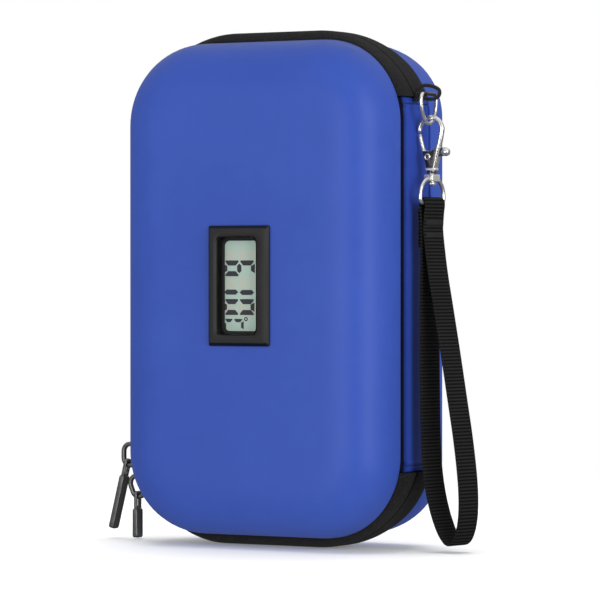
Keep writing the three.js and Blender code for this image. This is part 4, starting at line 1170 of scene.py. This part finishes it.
LOOP = [(67.5, 126), (67.26, 112), (67.1, 92), (67.16, 70), (67.56, 48), (68.6, 32), (71.2, 19.5), (75, 9.6), (78.6, 4.4), (81.4, 3.4),
        (84.2, 6), (86.2, 12.5), (86.7, 21), (86, 31), (84, 45), (81.2, 60), (77.8, 78), (74.2, 96), (71, 112), (69, 126)]
HEAD = [(69.0, 130), (69.35, 134.2), (69.75, 137.2), (69.45, 139.0), (68.2, 139.85), (66.95, 139.0), (66.65, 137.2), (67.05, 134.2), (67.4, 130)]
v, f, run, strap_length = ribbed(catmull(LOOP + HEAD, 10, True), 12.4, True)
strap = make("wrist_strap_webbing", swung(v), f, M_WEBBING, "strap", ["wrist_strap"], "webbing_black", run=run, sharp=75)
v, f, run, _ = ribbed(catmull([(66.1, 120.6), (66.15, 124), (66.3, 128), (66.2, 132), (65.75, 135.4)], 8), 12.2, False)
tail = make("wrist_strap_tail", swung(v), f, M_WEBBING, "strap", slot="webbing_black", run=run, sharp=75)
tack = Mesh()
for face_x, sgn in ((69.62, 1), (65.55, -1)):
    for z_mid in (125.4, 130.2):
        for i in range(19):
            y = -5.0 + i * 10.0 / 18
            zz = np.linspace(z_mid - 1.15, z_mid + 1.15, 7)
            slant = np.linspace(-0.22, 0.22, 7) * (1 if i % 2 else -1)
            x = np.linspace(-1, 1, 7)
            q = np.column_stack([face_x + sgn * (0.10 * (1 - x ** 4) - 0.16 * x ** 4), y + slant, zz])
            v, f, _ = sweep(q, circle(0.2, 6))
            tack.add(v, f)
tack.v = swung(tack.v).tolist()
bartack = tack.piece("strap_bartack", M_THREAD, "strap", slot="webbing_black")


# ------------------------------------------------------------------ inside: liners, bindings, packs, pocket, pen holders
def liner(name, side, hole):
    out_p = [(3.6, 0.0), (3.6, 4.6)] + [(3.6 + 14.8 * (1 - math.cos(a)), 4.6 + 14.8 * math.sin(a)) for a in np.linspace(0.25, math.pi / 2, 6)]
    in_p = [(6.45, 0.02), (6.6, 0.25), (6.6, 4.6)] + [(6.6 + 11.8 * (1 - math.cos(a)), 4.6 + 11.8 * math.sin(a)) for a in np.linspace(0.15, math.pi / 2, 10)]
    rings = [ring_at(outline(d), side * (12 + h)) for d, h in in_p] + [ring_at(outline(d), side * 28.4) for d in (21, 25, 29)]
    back = [ring_at(outline(29), side * 31.4)] + [ring_at(outline(d), side * (12 + h)) for d, h in reversed(out_p)]
    if hole:
        cut = rounded(27.8, 47.2, 1.0, 20, 12, 20, 0, DISPLAY_Z)
        v, f = loft(rings + [ring_at(cut, side * 28.4), ring_at(cut, side * 31.4)] + back, True, True)
    else:
        mid = rounded(8, 85, 3.5, 20, 12, 20, 0, ZC)
        v, f = loft([ring_at(mid, side * 28.4)] + rings[::-1] + back[::-1] + [ring_at(mid, side * 31.4)], True, False, True, True)
    o = make(name, v, f, M_FOIL, "front" if side < 0 else "rear", [name.replace("_foil", "")], "foil_foam", sharp=60)
    prof = [(2.45, 11.95), (2.6, 11.5), (3.2, 11.3), (4.6, 11.22), (6.1, 11.3), (6.8, 11.5), (7.05, 12.0), (7.12, 14.4), (7.0, 14.9), (6.72, 14.8), (6.62, 12.05), (4.6, 11.97)]
    rings = [ring_at(outline(d), side * y) for d, y in prof]
    v, f = loft(rings, True, True)
    one = np.concatenate([[0], np.cumsum(np.linalg.norm(np.diff(outline(5), axis=0), axis=1))])
    girth = np.concatenate([[0], np.cumsum([math.hypot(prof[i + 1][0] - prof[i][0], prof[i + 1][1] - prof[i][1]) for i in range(len(prof) - 1)])])
    run = np.concatenate([np.column_stack([one, np.full(len(one), g)]) for g in girth])
    side_name = "front" if side < 0 else "rear"
    make(side_name + "_rim_binding", v, f, M_TAPE, side_name, slot="zip_tape", run=run, sharp=60)


liner("front_liner_foil", -1, True)
liner("rear_liner_foil", 1, False)


def gel_pack(name, body, w, h, y_mid, half, zc):
    """Two welded films with gel between: a crowned pillow with a flat seam and puckers along it."""
    nx, nz = 72, 56
    v, run = [], []
    for side in (1, -1):
        for j in range(nz + 1):
            for i in range(nx + 1):
                a, b = 2 * i / nx - 1, 2 * j / nz - 1
                # square to rounded square
                e = 0.14
                x = w / 2 * a * (1 - e * b * b * abs(b) * a * a)
                z = h / 2 * b * (1 - e * a * a * abs(a) * b * b)
                d = min(w / 2 * (1 - abs(a)), h / 2 * (1 - abs(b)))
                rise = max(0.0, min(1.0, (d - 2.6) / 17.0))
                dome = math.sin(rise * math.pi / 2) ** 0.75
                pucker = 0.35 * math.exp(-((d - 5) / 4.0) ** 2) * math.sin((x if h / 2 * (1 - abs(b)) < w / 2 * (1 - abs(a)) else z) * 1.15 + side)
                t = 0.25 + (half - 0.25) * dome * (0.93 + 0.07 * math.cos(x * 0.09 + z * 0.07 + side)) + pucker * (1 if d > 2.6 else 0)
                v.append((x, y_mid + side * max(0.25, t), zc + z))
    f = []
    m = (nx + 1) * (nz + 1)
    for s in (0, 1):
        for j in range(nz):
            for i in range(nx):
                a = s * m + j * (nx + 1) + i
                f.append((a, a + 1, a + nx + 2, a + nx + 1))
    edge = [i for i in range(nx + 1)] + [j * (nx + 1) + nx for j in range(1, nz + 1)] + [nz * (nx + 1) + i for i in range(nx - 1, -1, -1)] + [j * (nx + 1) for j in range(nz - 1, 0, -1)]
    for k in range(len(edge)):
        a, b = edge[k], edge[(k + 1) % len(edge)]
        f.append((a, b, b + m, a + m))
    o = make(name, v, f, M_GEL, body, [name.replace("_film", "")], "gel_film", sharp=70)


gel_pack("gel_pack_front_film", "front", 88, 58, -21.7, 5.2, 50)
gel_pack("gel_pack_rear_film", "rear", 92, 72, 23.1, 4.2, 104)


def pocket():
    w, z0, z1, r, y = 105.0, 12.0, 80.0, 25.0, -14.7

    def inside(x, z, m):
        if z > z1 - m or z < z0 + m or abs(x) > w / 2 - m:
            return False
        cx, cz = w / 2 - r, z0 + r
        if abs(x) > cx and z < cz:
            return math.hypot(abs(x) - cx, z - cz) < r - m
        return True

    bm = bmesh.new()
    R = 1.9
    dx, dz = R * math.sqrt(3), R * 1.5
    rows = int((z1 - z0) / dz) + 2
    cols = int(w / dx) + 2
    for j in range(rows):
        for i in range(cols):
            cx = -w / 2 + i * dx + (dx / 2 if j % 2 else 0)
            cz = z0 + j * dz
            if not inside(cx, cz, 1.0):
                continue
            sag = 0.28 * math.cos(cx * 0.06) * math.sin((cz - z0) / (z1 - z0) * math.pi)
            o, q = [], []
            for k in range(6):
                a = math.radians(30 + 60 * k)
                o.append(bm.verts.new(((cx + R * math.cos(a)) * MM, (y - sag) * MM, (cz + R * math.sin(a)) * MM)))
                q.append(bm.verts.new(((cx + R * 0.70 * math.cos(a)) * MM, (y - sag) * MM, (cz + R * 0.70 * math.sin(a)) * MM)))
            for k in range(6):
                n = (k + 1) % 6
                bm.faces.new((o[k], o[n], q[n], q[k]))
    bmesh.ops.remove_doubles(bm, verts=bm.verts, dist=0.0004)
    me = bpy.data.meshes.new("mesh_pocket_net")
    bm.to_mesh(me)
    bm.free()
    a = me.attributes.new("run", "FLOAT_VECTOR", "POINT")
    co = np.array([v.co for v in me.vertices], np.float32) * 1000
    a.data.foreach_set("vector", np.column_stack([co[:, 0], co[:, 2], np.zeros(len(co))]).astype(np.float32).ravel())
    me.materials.append(M_MESH)
    net = bpy.data.objects.new("mesh_pocket_net", me)
    scene.collection.objects.link(net)
    s = net.modifiers.new("thickness", "SOLIDIFY")
    s.thickness = 0.0004
    s.offset = 0
    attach(net, "front")
    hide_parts("mesh_pocket")
    # elastic hem on top and binding round the other edges
    u = [(-w / 2, z1 - 3)]
    u += [(-w / 2, z0 + r + 10)] + [(-w / 2 + r - r * math.cos(t), z0 + r - r * math.sin(t)) for t in np.linspace(0, math.pi / 2, 14)]
    u += [(0, z0)] + [(w / 2 - r + r * math.sin(t), z0 + r - r * math.cos(t)) for t in np.linspace(0, math.pi / 2, 14)] + [(w / 2, z0 + r + 10), (w / 2, z1 - 3)]
    p = even(np.array([(x * 0.985, y, (z - ZC) * 1.0 + ZC + (0.6 if z < 30 else 0)) for x, z in u]), 1.6)
    sec = oval(2.2, 0.55, 14, 3.5)
    v, f, run = sweep(p, sec, (0, 1, 0))
    trim = Mesh().add(v, f, run)
    top = np.array([(x, y - 0.05, z1 - 2.6 + 0.35 * math.cos(x * 0.06)) for x in np.linspace(-w / 2, w / 2, 90)])
    v, f, run = sweep(top, oval(3.0, 0.6, 14, 3.5), (0, 1, 0))
    trim.add(v, f, run)
    hem = trim.piece("mesh_pocket_binding", M_ELASTIC, "front", slot="elastic_black", sharp=70)


pocket()


def pen_holders():
    v, f = plate(rounded(104, 180, 24, 16, 12, 20, 0, ZC), 17.2, 18.4, 0.45, "y")
    panel = make("pen_panel_cloth", v, f, M_PANEL, "rear", ["pen_panel"], "panel_fabric", run=v[:, [0, 2]], sharp=60)
    o = rounded(99, 175, 21.5, 16, 12, 20, 0, ZC)
    q = ring_at(np.vstack([o, o[:1]]), 17.2)
    thread = Mesh()
    stitch_row(thread, q, np.tile([0.0, -1, 0], (len(q), 1)), 2.4, 0.9, 0.2)
    for name, z0, z1 in (("pen_band_lower", 56, 74), ("pen_band_upper", 134, 152)):
        pts = [(-49.0, 0.0), (-46.5, 0.0)]
        for c in (-32, 0, 32):
            pts += [(c + 12 * math.cos(a), 11 * math.sin(a)) for a in np.linspace(math.pi, 0, 17)]
        pts += [(46.5, 0.0), (49.0, 0.0)]
        p = even(np.array([(x, 16.35 - h, (z0 + z1) / 2) for x, h in pts]), 0.9)
        b = np.linspace(-1, 1, 19)
        h = 0.44 * np.sqrt(np.maximum(1 - np.abs(b) ** 12, 0.03)) + 0.07 * np.cos(b * math.pi * 9)
        sec = np.vstack([np.column_stack([h, b * 9]), np.column_stack([-h[::-1], b[::-1] * 9])])
        v, f, run = sweep(p, sec, (0, 0, 1))
        e = make(name + "_elastic", v, f, M_ELASTIC, "rear", [name], "elastic_black", run=run, sharp=70)
        for x in (-47.4, -17.4, -14.6, 14.6, 17.4, 47.4):
            zz = np.linspace(z0 + 0.8, z1 - 0.8, 12)
            stitch_row(thread, np.column_stack([np.full(12, x), np.full(12, 15.86), zz]), np.tile([0.0, -1, 0], (12, 1)), 1.5, 0.35, 0.22)
    t = thread.piece("pen_panel_stitching", M_THREAD, "rear", slot="elastic_black")


pen_holders()


# ------------------------------------------------------------------ back of the thermometer, kept CAD pieces
def dress(node, mat, bevel=None):
    o = NODES[node]
    o.data.materials.clear()
    o.data.materials.append(mat)
    if bevel:
        b = o.modifiers.new("edge", "BEVEL")
        b.width = bevel * MM
        b.segments = 2
        b.limit_method = "ANGLE"
        b.angle_limit = math.radians(40)


dress("display_housing", M_BEZEL, 0.35)
dress("battery_door", M_BEZEL, 0.25)
dress("circuit_board", M_BOARD, 0.1)
dress("zebra_strip_left", M_RUBBER, 0.15)
dress("zebra_strip_right", M_RUBBER, 0.15)
dress("battery_a", M_STEEL, 0.3)
dress("battery_b", M_STEEL, 0.3)
dress("battery_contact", M_BRASS, 0.08)
v, f = rod([(2.1, 14.3), (2.1, 16.4), (2.02, 16.9), (1.75, 17.35), (1.2, 17.65), (0.5, 17.78)], (0, -FACE_Y, DISPLAY_Z - 19.6), (0, 1, 0), 24)
make("temperature_sensor_cap", v, f, M_STEEL, "front", ["temperature_sensor"], "cell_steel", sharp=45)


# ------------------------------------------------------------------ floor, light and background
def floor():
    n, r = 64, 2.2
    rings = [np.column_stack([q * circle(1.0, n), np.zeros(n)]) for q in (0.02, 0.3, 0.6, 1.0, 1.5, r)]
    v, f = loft(rings, True, False, True, False)
    me = bpy.data.meshes.new("floor")
    me.from_pydata(v.tolist(), [], [tuple(int(i) for i in q) for q in f])
    o = bpy.data.objects.new("floor", me)
    scene.collection.objects.link(o)
    g = Graph("studio_floor")
    co = g.coords()
    x, y, z = g.xyz(co)
    d = g.math("SQRT", g.math("ADD", g.math("MULTIPLY", x, x), g.math("MULTIPLY", y, y)))
    g.set(base_color=g.ramp(g.noise(3, 2, 0.5, co), [(0.3, (0.77, 0.77, 0.765)), (0.7, (0.78, 0.78, 0.77))]), roughness=0.8)
    g.b.inputs["Specular IOR Level"].default_value = 0.1
    g.b.inputs["Emission Color"].default_value = (1, 1, 0.99, 1)
    g.b.inputs["Emission Strength"].default_value = 0.16
    clear = g.t.nodes.new("ShaderNodeBsdfTransparent")
    mix = g.t.nodes.new("ShaderNodeMixShader")
    g.put(mix.inputs[0], g.rng(d, 0.16, 0.55, 0.0, 1.0))
    g.t.links.new(g.b.outputs[0], mix.inputs[1])
    g.t.links.new(clear.outputs[0], mix.inputs[2])
    g.t.links.new(mix.outputs[0], g.out.inputs[0])
    me.materials.append(g.m)
    o.location = (0, 0, -0.0001)
    o.visible_diffuse = False
    o.visible_glossy = False
    return o


floor_plane = floor()


def light(name, at, to, size, power, size_y=None, colour=(1, 1, 1)):
    d = bpy.data.lights.new(name, "AREA")
    d.shape = "RECTANGLE"
    d.size = size
    d.size_y = size_y or size
    d.energy = power
    d.color = colour
    o = bpy.data.objects.new(name, d)
    o.location = at
    o.rotation_mode = "QUATERNION"
    o.rotation_quaternion = (Vector(to) - Vector(at)).to_track_quat("-Z", "Y")
    scene.collection.objects.link(o)
    return o


light("key_soft", (1.65, -0.77, 0.40), (0, 0, 0.11), 0.9, 20, 1.3)
light("front_soft", (-0.15, -1.75, 0.08), (0, 0, 0.10), 0.9, 9.8, 0.6)
# extra light for the floor alone, so that it stays white close up to the contact shadow
wash = light("floor_wash", (-0.09, 0.22, 1.5), (0, 0, 0), 1.25, 20, 1.25)
only = bpy.data.collections.new("floor_only")
only.objects.link(floor_plane)
wash.light_linking.receiver_collection = only
light("top_soft", (-0.1, -0.35, 1.7), (0, 0, 0.1), 1.2, 0.5, 1.2)

# white room, darker where the camera stands
world = bpy.data.worlds.new("studio")
scene.world = world
world.use_nodes = True
t = world.node_tree
t.nodes.clear()
out = t.nodes.new("ShaderNodeOutputWorld")
lit = t.nodes.new("ShaderNodeBackground")
seen = t.nodes.new("ShaderNodeBackground")
mix = t.nodes.new("ShaderNodeMixShader")
path = t.nodes.new("ShaderNodeLightPath")
coord = t.nodes.new("ShaderNodeTexCoord")
dot = t.nodes.new("ShaderNodeVectorMath")
dot.operation = "DOT_PRODUCT"
dot.inputs[1].default_value = (0.522, -0.853, 0.01)
ramp = t.nodes.new("ShaderNodeValToRGB")
fit = t.nodes.new("ShaderNodeMapRange")
fit.inputs[1].default_value, fit.inputs[2].default_value = -1, 1
t.links.new(coord.outputs["Generated"], dot.inputs[0])
t.links.new(dot.outputs["Value"], fit.inputs[0])
t.links.new(fit.outputs[0], ramp.inputs[0])
e = ramp.color_ramp.elements
e[0].position, e[0].color = 0.90, (0.80, 0.80, 0.80, 1)
e[1].position, e[1].color = 0.965, (0.16, 0.16, 0.165, 1)
# light given back by the floor below and less from straight above
sep = t.nodes.new("ShaderNodeSeparateXYZ")
low = t.nodes.new("ShaderNodeMapRange")
low.inputs[1].default_value, low.inputs[2].default_value = -0.55, 0.05
low.inputs[3].default_value, low.inputs[4].default_value = 1.14, 1.0
dim = t.nodes.new("ShaderNodeVectorMath")
dim.operation = "SCALE"
t.links.new(coord.outputs["Generated"], sep.inputs[0])
t.links.new(sep.outputs["Z"], low.inputs[0])
t.links.new(ramp.outputs[0], dim.inputs[0])
high = t.nodes.new("ShaderNodeMapRange")
high.inputs[1].default_value, high.inputs[2].default_value = 0.1, 0.9
high.inputs[3].default_value, high.inputs[4].default_value = 1.0, 0.72
times = t.nodes.new("ShaderNodeMath")
times.operation = "MULTIPLY"
t.links.new(sep.outputs["Z"], high.inputs[0])
t.links.new(low.outputs[0], times.inputs[0])
t.links.new(high.outputs[0], times.inputs[1])
t.links.new(times.outputs[0], dim.inputs["Scale"])
t.links.new(dim.outputs[0], lit.inputs[0])
lit.inputs[1].default_value = 0.98
seen.inputs[0].default_value = (1, 1, 1, 1)
seen.inputs[1].default_value = 1.0
# reflections see dark flags round the sides and a bright ceiling
flag = t.nodes.new("ShaderNodeValToRGB")
span = t.nodes.new("ShaderNodeMapRange")
span.inputs[1].default_value, span.inputs[2].default_value = -1, 1
t.links.new(sep.outputs["Z"], span.inputs[0])
t.links.new(span.outputs[0], flag.inputs[0])
e = flag.color_ramp.elements
e[0].position, e[0].color = 0.25, (0.14, 0.14, 0.14, 1)
e[1].position, e[1].color = 0.88, (0.95, 0.95, 0.95, 1)
for at, c in ((0.47, 0.20), (0.60, 0.26), (0.72, 0.60)):
    k = e.new(at)
    k.color = (c, c, c, 1)
mirror = t.nodes.new("ShaderNodeBackground")
t.links.new(flag.outputs[0], mirror.inputs[0])
mirror.inputs[1].default_value = 1.0
both = t.nodes.new("ShaderNodeMixShader")
t.links.new(path.outputs["Is Glossy Ray"], both.inputs[0])
t.links.new(lit.outputs[0], both.inputs[1])
t.links.new(mirror.outputs[0], both.inputs[2])
t.links.new(path.outputs["Is Camera Ray"], mix.inputs[0])
t.links.new(both.outputs[0], mix.inputs[1])
t.links.new(seen.outputs[0], mix.inputs[2])
t.links.new(mix.outputs[0], out.inputs[0])

bpy.context.view_layer.update()
